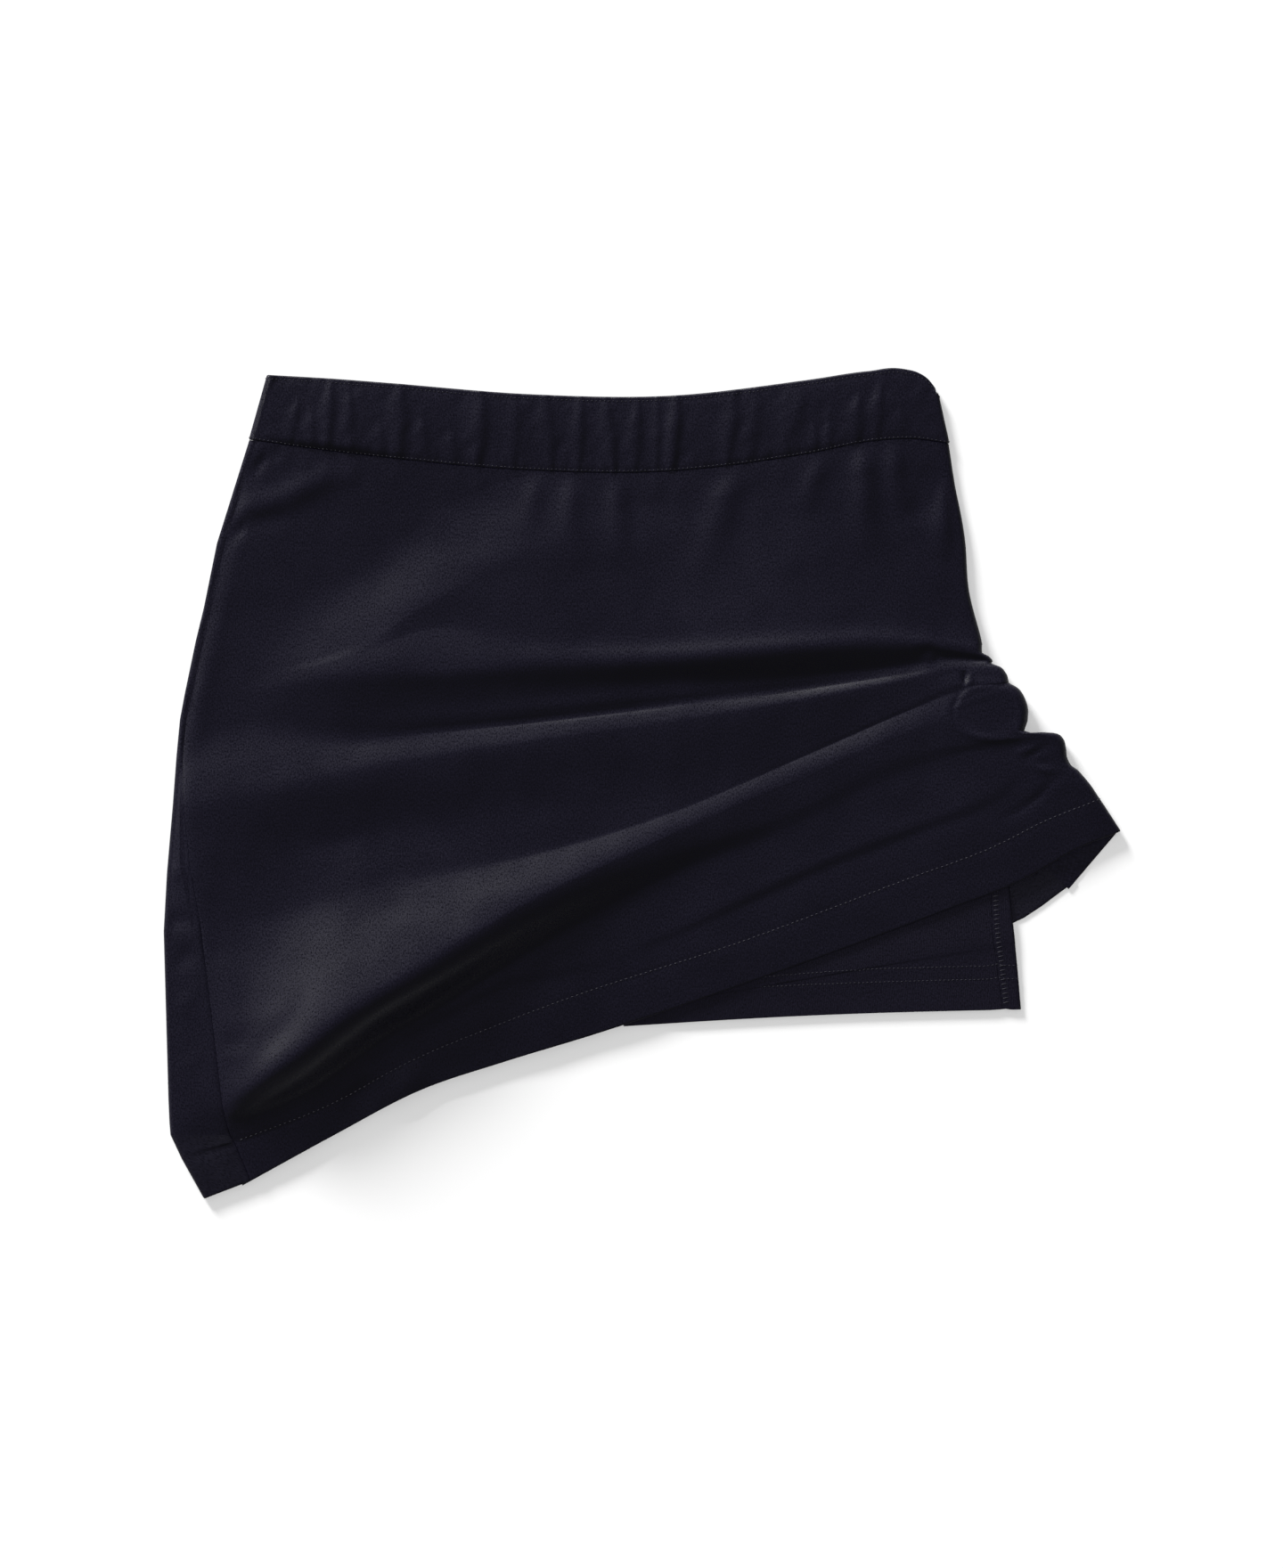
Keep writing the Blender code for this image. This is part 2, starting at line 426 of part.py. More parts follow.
def make_waistband():
    columns = 84
    u = np.linspace(0, 1, columns)
    lower = np.array(BAND_LOWER)
    upper = np.array(BAND_UPPER)
    height = np.array([p[0] for p in BAND_PROFILE])
    low_edge = spline(lower[:, 0], lower[:, 1:], u)
    top_edge = spline(upper[:, 0], upper[:, 1:], u)
    plan = low_edge[None] * (1 - height)[:, None, None] + top_edge[None] * height[:, None, None]
    count = len(height)
    z_front = np.full(count, BAND_FRONT)
    z_back = np.full(count, BAND_BACK)
    radius = 0.5 * (z_front - z_back)
    right, left = plan[:, -1].copy(), plan[:, 0].copy()
    out_right = right - plan[:, -2]
    out_right /= np.hypot(out_right[:, 0], out_right[:, 1])[:, None]
    out_left = left - plan[:, 1]
    out_left /= np.hypot(out_left[:, 0], out_left[:, 1])[:, None]
    plan -= out_right[:, None] * radius[:, None, None] * smooth_step((u - 0.95) / 0.05)[None, :, None]
    plan -= out_left[:, None] * radius[:, None, None] * smooth_step((0.05 - u) / 0.05)[None, :, None]
    swell = np.sin(np.pi * (0.12 + 0.76 * height))[:, None]
    z = BAND_FRONT + GATHER_RISE * band_gathers(u)[None] * swell
    ends = smooth_step(u / 0.03) * smooth_step((1 - u) / 0.03)
    z = BAND_FRONT + (z - BAND_FRONT) * ends[None]
    front = np.dstack([plan, z])
    back_plan = plan[:, ::-1][:, ::4]
    if (columns - 1) % 4:
        back_plan = np.concatenate([back_plan, plan[:, :1]], axis=1)
    back = np.dstack([back_plan, np.full(back_plan.shape[:2], BAND_BACK)])
    ring = np.concatenate([front, half_turn(right, out_right, radius, z_front, z_back, 4), back,
                           half_turn(left, out_left, radius, z_back, z_front, 4)], axis=1)
    normal = normals_of(ring, closed=True)
    if normal[1, 10, 2] < 0:
        normal = -normal
    add_wall("waistband", ring, normal, [p[1] for p in BAND_PROFILE], closed=True)


def make_leg(table, front_name, back_name):
    """One leg of the shorts: front and back layer, the back one turned over the outer edge."""
    inner = np.array([row[1] for row in table], float)
    fold = np.array([row[2] for row in table], float)
    wrap = np.array([row[3] for row in table], float)
    drop = np.array([row[4] for row in table], float)
    z_front, z_back = SHORTS_FRONT - drop, SHORTS_BACK - drop
    outward = fold - inner
    outward /= np.hypot(outward[:, 0], outward[:, 1])[:, None]
    radius = 0.5 * (z_front - z_back)
    seam = np.column_stack([fold - outward * wrap[:, None], z_front])
    edge = fold - outward * radius[:, None]
    inner_front = np.column_stack([inner, z_front])
    inner_back = np.column_stack([inner, z_back])
    front = np.concatenate([inner_front[:, None], between(inner_front, seam, 6), seam[:, None]], axis=1)
    edge_front = np.column_stack([edge, z_front])
    edge_back = np.column_stack([edge, z_back])
    rest = np.concatenate([between(seam, edge_front, 1), edge_front[:, None],
                           half_turn(fold, outward, radius, z_front, z_back, 3), edge_back[:, None],
                           between(edge_back, inner_back, 6), inner_back[:, None]], axis=1)
    whole = np.concatenate([front, rest], axis=1)
    whole[0, :, 1] = band_edge_at(whole[0, :, 0]) - WAIST_SET_IN
    normal = normals_of(whole, closed=False)
    if normal[0, 1, 2] < 0:
        normal = -normal
    count = front.shape[1]
    front_grid = whole[:, :count].copy()
    back_grid = whole[:, count - 1:].copy()
    step_back(front_grid, -1, -2, SEAM_GAP / 2)
    step_back(back_grid, 0, 1, SEAM_GAP / 2)
    add_wall(front_name, front_grid, normal[:, :count], WALL / 2)
    add_wall(back_name, back_grid, normal[:, count - 1:], WALL / 2)


def centre_on_table():
    """Move every piece together so that the whole stands centred on the origin."""
    bodies = [body for body in bpy.context.scene.objects if body.type == "MESH"]
    points = np.concatenate([np.array([v.co[:] for v in body.data.vertices]) for body in bodies])
    low, high = points.min(axis=0), points.max(axis=0)
    shift = np.array([-(low[0] + high[0]) / 2, -(low[1] + high[1]) / 2, -low[2]])
    for body in bodies:
        for vertex in body.data.vertices:
            vertex.co = tuple(np.array(vertex.co[:]) + shift)
        body.data.update()


for old in list(bpy.context.scene.objects):
    bpy.data.objects.remove(old, do_unlink=True)

make_waistband()
make_skirt()
make_leg(SHORTS_RIGHT, "shorts_right_front", "shorts_right_back")
make_leg(SHORTS_LEFT, "shorts_left_front", "shorts_left_back")
centre_on_table()
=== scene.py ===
"""Looks of a chino skort that lies flat: a twill skirt over knit shorts under an elastic waistband.

Lengths in the tables are millimetres: +X right, +Y towards the waistband, +Z up, the table at
z = 0. Every cloth layer is a middle surface worked out on a grid and given its wall along the
normals, as in the solids, with finer folds, gathers, pucker and stitches. Heights were judged from
the light and shade of the laid cloth.
"""

import bpy
import numpy as np
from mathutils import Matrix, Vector


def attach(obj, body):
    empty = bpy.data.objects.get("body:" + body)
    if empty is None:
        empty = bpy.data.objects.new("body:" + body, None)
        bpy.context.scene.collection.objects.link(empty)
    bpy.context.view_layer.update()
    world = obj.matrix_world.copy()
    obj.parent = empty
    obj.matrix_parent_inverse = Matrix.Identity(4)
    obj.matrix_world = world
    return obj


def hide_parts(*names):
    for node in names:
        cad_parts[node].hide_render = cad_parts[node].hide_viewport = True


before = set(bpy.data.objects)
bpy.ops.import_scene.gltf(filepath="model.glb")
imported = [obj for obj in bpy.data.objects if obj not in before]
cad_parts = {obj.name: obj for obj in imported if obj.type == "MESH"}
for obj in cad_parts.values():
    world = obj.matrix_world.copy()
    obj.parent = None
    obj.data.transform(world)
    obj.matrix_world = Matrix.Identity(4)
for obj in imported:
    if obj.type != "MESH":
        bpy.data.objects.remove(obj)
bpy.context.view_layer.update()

MM = 0.001                            # metres in a millimetre
MOVED = (-0.17, 0.03, 0.0)            # the solids were centred on their box by this much
WALL = 1.0                            # cloth wall
SEAM_GAP = 0.3                        # space between sewn pieces
TABLE_LAYER = 0.5                     # middle of the layer that lies on the table
LEFT_FOLD_TOP = 4.4                   # middle of the upper layer at the left fold
SHORTS_FRONT, SHORTS_BACK = 3.1, 1.8  # middles of a leg's two layers
LOWEST_FRONT = 4.45                   # the front panel clears the legs from here up
WAIST_SET_IN = 1.3                    # cloth inside the band stops this far past its edge
BAND_FRONT, BAND_BACK = 4.4, 1.0      # middles of the waistband's two walls
BAND_HALF = 1.0                       # half of the waistband's wall
BAND_DEEP = 42                        # waistband from edge to edge
HEM_DEEP = 25.0                       # skirt's hem from its fold to its stitches
PANEL_WIDE = 420.0                    # rough width of the front panel
STITCH_PITCH = 2.9
THREAD = 0.26                         # half the thread's width
SHARP_FROM = 0.87                     # angle in radians from which an edge stays sharp
ROLL_FROM, ROLL_SHARE = 0.93, 0.07    # the part of the panel's width that rolls into the right fold

# ---------------------------------------------------------------- the cut and its folds

STATIONS = (0.0, 0.1, 0.2, 0.3, 0.4, 0.6, 0.8, 0.9, 0.95, 1.0)

# the lines of the skirt from waist to hem, each crossing the front panel from left to right:
#  name, (steepness above: left, right), (steepness below: left, right), left fold (x, y),
#  the ten stations (x, y, z), seam under the right fold (x, y). First the numbers of the columns
STEEP_ABOVE, STEEP_BELOW, LEFT_FOLD, STATION, SEAM_UNDER = 1, 2, 3, slice(4, 14), 14
FRONT_LINES = (
    ("waist", (0, 0), (0, 1.3), (-219.8, 192.6),
     (-216.8, 192.2, 4.4), (-180, 186.9, 4.4), (-140.8, 182.2, 4.4), (-102, 178, 4.4),
     (-62.8, 175.4, 4.4), (14.8, 174.8, 4.4), (92.8, 184.6, 4.4), (131.8, 192, 4.4),
     (152, 193, 4.4), (171.6, 190.4, 4.2), (164.8, 190)),
    ("slant_foot", (0.8, 1), (0.1, 1), (-238, 134.6),
     (-234.4, 134.4, 4.7), (-203, 108, 4.8), (-156, 122, 4.7), (-111, 154, 4.5),
     (-66, 172, 4.5), (14.8, 154, 5.1), (93.5, 168, 5.2), (134, 168, 4.8),
     (155, 170, 4.6), (175, 168, 4.5), (169, 166)),
    ("slant_crest", (0.7, 1), (0.8, 1), (-245.4, 98.2),
     (-241.8, 98, 4.7), (-217, 66, 5.6), (-161, 77, 12.2), (-114, 105, 12.2),
     (-67, 130, 11.2), (14.6, 126, 7.1), (94.6, 134, 7.9), (136.5, 134, 6.3),
     (158, 134, 5.8), (181, 134, 5), (172.4, 132.8)),
    ("foot_a", (0.8, 0.9), (1, 1.7), (-249.8, 80.2),
     (-246.2, 80, 4.8), (-218.5, 60, 5.6), (-163, 71, 13.2), (-118, 86, 12.4),
     (-77, 80, 13.2), (9, 78, 11.2), (92.5, 83.8, 11.8), (138, 86.5, 8.8),
     (163, 83, 7.8), (188.9, 79, 6.5), (176.5, 86)),
    ("crest_a", (0.5, 0.3), (0.8, 0.5), (-256, 50.4),
     (-252.5, 50.4, 5), (-221, 52, 5.6), (-165, 62, 14.4), (-121, 63.5, 17),
     (-78, 66.5, 17), (8, 69.5, 14.8), (94, 75.8, 15.2), (140, 78.5, 11.8),
     (166, 77, 9.7), (190.4, 73.4, 8), (177.8, 72.2)),
    ("lee_a", (0.8, 1), (0.8, 0.8), (-258.7, 36),
     (-255.2, 36, 4.9), (-222, 42, 5.2), (-166, 50, 12.4), (-121, 51, 13.8),
     (-76, 53, 13), (10, 57, 8.8), (96, 62, 6.8), (146, 67, 5.8),
     (170, 70.5, 5.8), (195.6, 69.4, 5.6), (179.2, 65.8)),
    ("dip_ab", (0.8, 0.8), (1, 1.3), (-260.6, 16),
     (-257.2, 16, 5), (-222, 31, 5), (-169, 25.5, 8.2), (-122, 28.5, 9.8),
     (-75, 33, 10.4), (10, 42.6, 8.6), (97, 53.6, 7), (148, 61.6, 7),
     (172, 65.4, 7.6), (196.4, 66.8, 7.2), (180.8, 58.8)),
    ("crest_b", (0.8, 0.5), (0.6, 0.5), (-262.7, -12),
     (-256.8, -12, 9), (-214, -5, 12), (-170.2, 4.6, 13.8), (-123, 13.4, 14.2),
     (-75.2, 21, 14.2), (9.8, 33, 11.4), (97.2, 47.8, 9.6), (147.2, 57.8, 8.3),
     (172, 62.6, 8), (203.8, 61.6, 8.2), (184.8, 51.8)),
    ("lee_b", (0.5, 0.5), (0.7, 0.7), (-266, -50.2),
     (-253, -48, 9.6), (-205.5, -40, 8.8), (-158, -29, 10), (-117, -23.5, 10.6),
     (-75.2, -16, 11.4), (9.8, -5.5, 10.2), (97.2, 21.5, 7.8), (149.8, 44.2, 8),
     (176, 55.4, 8.8), (205, 57.6, 9), (186.8, 44.8)),
    ("dip_bc", (0.8, 0.8), (0.75, 1.5), (-267.8, -83),
     (-247, -80, 9), (-205.5, -74, 9), (-160, -58, 13), (-118, -50, 12.8),
     (-75.2, -42.5, 12.9), (9.8, -18.8, 10.8), (97.2, 18, 7.4), (150, 41, 7.6),
     (178, 52, 8.4), (205.8, 56.2, 8.8), (188.8, 37.8)),
    ("crest_c", (0.7, 0.2), (0.7, 0.4), (-265.2, -176),
     (-234.9, -180.5, 9.2), (-201, -158, 28), (-160.6, -127, 31.8), (-118, -101, 29.6),
     (-75.2, -74, 23.6), (9.8, -32, 14.2), (97.2, 6.5, 10.1), (150, 28.5, 10),
     (181, 38, 10), (216.2, 40.5, 10.2), (195.8, 25.8)),
    ("brow_c", (0.8, 0.8), (1.3, 1.2), (-264.9, -183),
     (-233.6, -187, 8.2), (-195, -165, 23), (-153, -132, 28), (-112, -107.5, 25.6),
     (-71, -82, 20.6), (12, -42, 12.6), (95, -10, 9.5), (152, 17.5, 9.6),
     (186, 23, 9.6), (231, 28.2, 9.2), (198.5, 18)),
    ("dip_cd", (0.8, 0.8), (0.7, 0.5), (-264.6, -190),
     (-232.2, -192.6, 7), (-188, -172, 8.2), (-144, -141, 8.6), (-105, -118, 7.6),
     (-66, -94, 7.2), (14, -53, 7.4), (93.5, -21, 7.6), (155, 8.5, 8),
     (188.5, 18, 8.2), (237.4, 20.4, 8.2), (200.5, 10)),
    ("plain_d", (0.6, 0.6), (0.8, 0.8), (-264, -197),
     (-230.6, -197.2, 5.9), (-183, -178.5, 6.4), (-137, -148, 6.8), (-97, -127, 6.6),
     (-57, -106.5, 6.6), (27, -77, 6.8), (110, -38, 7.3), (172, -14, 7.8),
     (205, -2, 8), (247, 4.6, 7.6), (209, -8)),
    ("stitch", (0.8, 0.8), (0.8, 0.8), (-257.8, -210.2),
     (-228.4, -201, 5.1), (-178, -181.5, 5.6), (-130.2, -156, 6), (-85, -137, 6),
     (-40.2, -120, 6), (54.8, -89, 6.2), (149.8, -53.2, 6.4), (199.8, -34.2, 6.6),
     (227, -20.5, 6.8), (256.4, -8.6, 6.6), (225.8, -37.8)),
    ("hem", (0.8, 0.8), (0.5, 0.5), (-245.2, -232.8),
     (-219.2, -222.8, 4.2), (-171.5, -196.6, 4.6), (-125.2, -172.4, 4.9), (-77.5, -156.2, 5),
     (-30.2, -141.8, 5), (67.2, -109, 5), (164.8, -73.2, 5), (217.2, -52.2, 5.2),
     (243.5, -36.8, 5.6), (268.2, -26.8, 4.6), (243.2, -54.8)),
)
LINE = {row[0]: k for k, row in enumerate(FRONT_LINES)}

# outline of the right fold: last line passed, share of the way to the next, x, y
FOLD_END = (
    ("waist", 0, 171.6, 190.4), ("slant_foot", 0, 175, 168),
    ("slant_crest", 0, 181, 134), ("slant_crest", 0.5, 183, 108),
    ("foot_a", 0, 189.6, 82), ("foot_a", 0.6, 190.2, 77), ("crest_a", 0, 190.4, 73.2),
    ("crest_a", 0.4, 193.6, 71.4), ("lee_a", 0, 196, 69.2), ("dip_ab", 0, 196.6, 66.6),
    ("dip_ab", 0.4, 200.8, 65), ("crest_b", 0, 203.8, 61.6), ("lee_b", 0, 205.2, 57.2),
    ("dip_bc", 0, 206.4, 55.6), ("dip_bc", 0.3, 211, 52.8), ("dip_bc", 0.65, 214.6, 47),
    ("crest_c", 0, 216.2, 40), ("crest_c", 0.3, 215.2, 32.4), ("crest_c", 0.45, 213.8, 28.4),
    ("crest_c", 0.7, 222, 28.4), ("brow_c", 0, 230.6, 28), ("brow_c", 0.5, 235.8, 25),
    ("dip_cd", 0, 237.4, 19.6), ("dip_cd", 0.4, 238.4, 13.4), ("dip_cd", 0.6, 240.4, 9.8),
    ("dip_cd", 0.8, 244, 7.4), ("plain_d", 0, 247.4, 3.6), ("stitch", 0, 256.4, -8.8),
    ("hem", 0, 268.2, -26.8),
)

# the flat lobe at the right end of the lowest big fold: centre, half-lengths, turn, height, falls
EAR_CENTRE, EAR_HALF, EAR_TURN = (196.0, 41.0), (23.5, 16.5), -0.10
EAR_HEIGHT, EAR_FALL = 9.4, (-0.01, 0.0)

# soft ridges (+) and troughs (-) laid over the front: name, path, half-width at both ends, rise,
# and its kind: FREE fades at both ends, FROM_WAIST starts at full height on the waist seam, and
# STEP is high on the left of its path and low on the right
FREE, FROM_WAIST, STEP = 0, 1, 2
RIDGES = (
    ("edge roll", ((-229, 143), (-236, 118), (-242, 92), (-246, 60)), (4, 4), -0.4, FREE),
    ("corner fold", ((-160, 177), (-172, 172.5), (-186, 168), (-200, 160), (-212, 157),
     (-229, 152)), (7, 7), 2, FREE),
    ("corner crease", ((-240, 128), (-230, 140), (-218, 146), (-197, 149)), (3.5, 4.5), -1.6, FREE),
    ("corner tuck", ((-224, 170), (-215, 179), (-200, 188)), (3.5, 3), -1.3, FREE),
    ("gather 1", ((-200, 187), (-205, 176)), (3, 4), 0.7, FROM_WAIST),
    ("gather 2", ((-186, 186), (-192, 172)), (3, 4), 0.8, FROM_WAIST),
    ("gather 3", ((-175, 184), (-180, 168)), (3, 4), 0.7, FROM_WAIST),
    ("gather 4", ((-160, 182), (-165, 164)), (3.5, 4.5), 0.8, FROM_WAIST),
    ("gather 5", ((-137, 179), (-141, 165)), (3, 4), 0.7, FROM_WAIST),
    ("gather 6", ((-119, 177.5), (-121, 164)), (3, 4), 0.6, FROM_WAIST),
    ("gather 7", ((-104, 176.5), (-106, 166)), (3, 3.5), 0.5, FROM_WAIST),
    ("gather 8", ((-90, 175.5), (-93, 160)), (3.5, 4), 0.7, FROM_WAIST),
    ("gather 9", ((-58, 174.5), (-61, 158), (-67, 138)), (4.5, 6.5), 1.5, FROM_WAIST),
    ("gather 10", ((-39, 174), (-40, 152), (-41, 132)), (5, 7), 2, FROM_WAIST),
    ("gather 11", ((-15, 173.5), (-13, 150), (-11, 118)), (5, 7.5), 2, FROM_WAIST),
    ("gather 12", ((7, 173.5), (9, 158)), (3, 4), 0.8, FROM_WAIST),
    ("gather 13", ((20, 174.5), (22, 158)), (3, 4), 0.8, FROM_WAIST),
    ("gather 14", ((52, 178), (47, 160), (39, 136), (31, 108)), (7, 11), 2.2, FROM_WAIST),
    ("gather 15", ((65, 180), (62, 166)), (3, 4), 0.6, FROM_WAIST),
    ("gather 16", ((78, 182), (77, 170)), (3, 4), 0.5, FROM_WAIST),
    ("gather 17", ((99, 184.5), (95, 166), (92, 150)), (5, 6.5), 1.9, FROM_WAIST),
    ("gather 18", ((109, 187), (109, 176)), (3, 3.5), 0.6, FROM_WAIST),
    ("gather 19", ((122.5, 189), (125, 170), (125, 148), (127, 122)), (6, 9), 2.6, FROM_WAIST),
    ("gather 20", ((140.5, 191.5), (143, 168), (147, 146)), (5, 6.5), 1.9, FROM_WAIST),
    ("side valley", ((166, 178), (160, 160), (150, 146)), (7, 7), -1.3, FREE),
    ("side ridge", ((174, 170), (172, 150), (168, 126)), (6, 8), 1.3, FREE),
    ("dent", ((-163, -31), (-157, -43), (-150, -56), (-146, -70)), (7, 9), 0.4, FREE),
    ("dent side", ((-152, -30), (-143, -41), (-136, -54)), (7, 7), -0.4, FREE),
    ("streak a", ((-244, -145), (-232, -146), (-216, -141)), (6, 6), -0.4, FREE),
    ("streak b", ((-240, -163), (-224, -160), (-211, -148), (-197, -133), (-182, -121)), (7, 7),
     -0.65, FREE),
    ("seam swell", ((-234, -94), (-231, -118), (-228, -146)), (9, 9), 1.3, FREE),
    ("groove d", ((-137, -144), (-105, -127), (-75, -111), (-45, -106), (-15, -99)), (4, 3.5),
     0.25, STEP),
    ("groove de", ((-15, -99), (0, -92), (30, -79), (60, -65), (90, -51), (109, -43), (135, -33),
     (158.5, -24), (181.5, -16), (197, -8.5), (212, 3), (226, 11)), (3.5, 3), 0.5, STEP),
    ("crease ab", ((-200, 31.5), (-165, 28), (-135, 29), (-105, 31), (-75, 34), (-45, 37.5),
     (-15, 41), (15, 45), (45, 49.5), (75, 53), (105, 56.5), (135, 60.5)), (2.2, 1.8), -0.8, FREE),
    ("swell ab", ((-180, 34), (-135, 34.5), (-75, 40), (-15, 47.5), (45, 55)), (5, 4), 0.8, FREE),
    ("crease e", ((199, -22), (213, -14.5), (225.5, -6), (233, 2), (243, 8)), (1.9, 1.6),
     -0.7, FREE),
    ("swirl crease", ((217, 14), (224, 18), (231, 21.5), (236, 22)), (1.6, 1.5), -0.9, FREE),
    ("swirl eye", ((224, 12.5), (230, 11.6), (238, 12.4)), (1.6, 1.6), -1, FREE),
    ("swirl lip", ((222, 10), (229, 8), (239, 8.8)), (1.6, 1.6), 0.9, FREE),
    ("short lip", ((211, 16), (218, 18.5), (226, 21.5)), (1.6, 1.6), 0.8, FREE),
    ("ring", ((172, 38), (178, 31.5), (184, 27.8), (191, 25.8), (200, 25.2), (210, 25.8),
     (221, 27.4)), (1.8, 1.6), 0.9, FREE),
    ("ear crease", ((186, 55), (178.5, 49.5), (174.8, 43), (174.6, 37), (178, 32), (185, 28.6)),
     (1.6, 1.4), -0.8, FREE),
    ("end dimple", ((153, 71.5), (158, 74.6), (163, 75.2), (169, 71.5)), (2.6, 2.6), -1, FREE),
    ("end bead", ((157, 69), (165, 70.2)), (3.4, 3.4), 0.6, FREE),
    ("notch", ((183.2, 63.5), (182.8, 55)), (1.7, 1.7), -1.3, FREE),
    ("notch lip", ((187, 64), (186.4, 57.5), (183.5, 54)), (1.6, 1.6), 0.8, FREE),
    ("hem bulge", ((-122, -157), (-132, -169), (-140, -184)), (9, 8), 2.2, FREE),
    ("hem fold", ((-150, -164), (-159, -178), (-165, -194)), (6.5, 6), -1.8, FREE),
)

# the same on the strip of the back panel that shows left of the left seam
STRIP_RIDGES = (
    ("strip fold a", ((-267, -83), (-262, -77), (-249, -77)), (4.5, 4), -0.9, FREE),
    ("strip fold b", ((-263, -106), (-257, -98), (-250, -92)), (4.5, 4), -0.8, FREE),
    ("strip fold c", ((-262, -128), (-255, -122), (-247, -112)), (4, 3), 0.5, FREE),
    ("strip fold d", ((-265, -160), (-254, -158), (-244, -150)), (5, 4), 0.5, FREE),
    ("strip fold e", ((-266, -52), (-258, -48)), (5, 4), 0.5, FREE),
)

# the back panel's hem from the right seam to the left fold, and how far each line bows with it
BACK_HEM = ((209.8, -77.8), (139.8, -90.8), (64.8, -104.8), (-10.2, -118.8), (-80.2, -142.8),
            (-140.2, -167.8), (-185.2, -195.2), (-219.2, -219.2))
BOW = {"hem": 1.0, "stitch": 0.9, "plain_d": 0.6, "dip_cd": 0.3, "brow_c": 0.22, "crest_c": 0.15}
# how far each line follows the waistband's curve on the back panel
WAIST_BOW = {"waist": 1.0, "slant_foot": 0.7, "slant_crest": 0.45, "foot_a": 0.2}

# waistband edges from the left fold to the right fold: share of the way, x, y
BAND_LOWER = ((0, -219.6, 192.8), (0.1, -180, 187.2), (0.2, -140.8, 182.5), (0.4, -62.8, 175.7),
              (0.6, 14.8, 175.1), (0.8, 92.8, 184.9), (0.9, 131.8, 192.3), (0.95, 152, 193.3),
              (1, 171.6, 190.8))
BAND_UPPER = ((0, -209.4, 229.2), (0.1, -175, 227.2), (0.2, -140.8, 224.6), (0.4, -62.8, 218.4),
              (0.6, 14.8, 217.5), (0.8, 92.8, 226.4), (0.9, 127.2, 231.4), (0.95, 146, 232.7),
              (0.966, 154, 230.9), (0.978, 159.5, 227.8), (0.989, 163.3, 223.4), (1, 165.6, 218))
# gathers that cross the waistband: x at its lower edge, x at its upper edge, half-width, rise,
# how far up the band they reach
BAND_GATHERS = (
    (-197.8, -190.2, 3, 0.5, 0.60), (-186.2, -184.2, 3.5, 0.5, 0.50), (-177.2, -174.2, 4, 0.8, 0.90),
    (-164.2, -164.2, 4, 0.6, 0.80), (-146.2, -147.8, 4, 0.5, 0.40), (-136.8, -135.2, 5, 0.9, 1.00),
    (-121.2, -125.2, 4.5, 0.7, 0.50), (-106.2, -107.8, 4, 0.6, 0.40), (-92.8, -90.2, 5.5, 1.1, 1.00),
    (-72.8, -70.2, 4, 0.5, 1.00), (-51.2, -54.2, 4.5, 0.7, 1.00), (-36.2, -34.2, 3.5, 0.8, 1.00),
    (-16.2, -20.2, 4, 0.8, 1.00), (-4.2, -2.2, 4, 0.7, 0.90), (7.8, 8.8, 3, 0.5, 1.00),
    (16.2, 19.8, 4, 1.1, 1.00), (47.2, 52.2, 4.5, 0.9, 1.00), (58.8, 64.8, 6, 0.6, 1.00),
    (79.8, 89.8, 7, 0.5, 0.90), (96.8, 95.8, 3, 0.5, 0.35), (104.8, 105.8, 3, 0.5, 0.40),
    (119.8, 122.2, 4.5, 0.7, 0.60), (130.8, 134.8, 4, 0.6, 0.70), (144.8, 145.8, 4, 0.4, 0.40),
)

# legs: name, inner edge (x, y), outer fold (x, y), side seam's distance in from the fold, drop
SHORTS_RIGHT = (
    ("waist", (-15.1, 174), (162.8, 185), 3, 0),
    ("hip", (-15.1, 89.8), (179.8, 89.8), 3, 0),
    ("crotch", (-15.1, -25.2), (200.2, -17.8), 7, 0),
    ("at_back_hem", (-12.8, -119.6), (207.8, -79), 11.6, 0),
    ("half_down", (-11.8, -125), (209.2, -93), 11.2, 0.42),
    ("on_table", (-11.2, -130.6), (210.6, -108), 10.8, 0.92),
    ("edge", (-10.2, -136.2), (212.2, -126.8), 10, 1.3),
)
SHORTS_LEFT = (
    ("waist", (-15.4, 174), (-208.2, 185), 3, 0),
    ("hip", (-15.4, 89.8), (-232.2, 89.8), 3, 0),
    ("crotch", (-15.4, -25.2), (-244.2, -17.8), 7, 0),
    ("edge", (-22.8, -134.2), (-247.2, -126.8), 10, 0),
)


# ---------------------------------------------------------------- sums

def spline(knots, values, at):
    """Smooth curve through values at knots: cubic spans whose tangents average the spans beside."""
    knots = np.asarray(knots, float)
    values = np.asarray(values, float)
    wide = (slice(None),) + (None,) * (values.ndim - 1)
    span = np.diff(knots)
    slope = np.diff(values, axis=0) / span[wide]
    tangent = np.empty_like(values)
    tangent[0], tangent[-1] = slope[0], slope[-1]
    left, right = span[:-1], span[1:]
    tangent[1:-1] = (slope[:-1] * right[wide] + slope[1:] * left[wide]) / (left + right)[wide]
    k = np.clip(np.searchsorted(knots, at, side="right") - 1, 0, len(knots) - 2)
    width = span[k][wide]
    f = ((at - knots[k]) / span[k])[wide]
    return ((2 * f**3 - 3 * f**2 + 1) * values[k] + (f**3 - 2 * f**2 + f) * width * tangent[k]
            + (3 * f**2 - 2 * f**3) * values[k + 1] + (f**3 - f**2) * width * tangent[k + 1])


def smooth_step(t):
    """0 below 0, 1 above 1, and 3t^2 - 2t^3 between."""
    t = np.clip(t, 0.0, 1.0)
    return t * t * (3 - 2 * t)


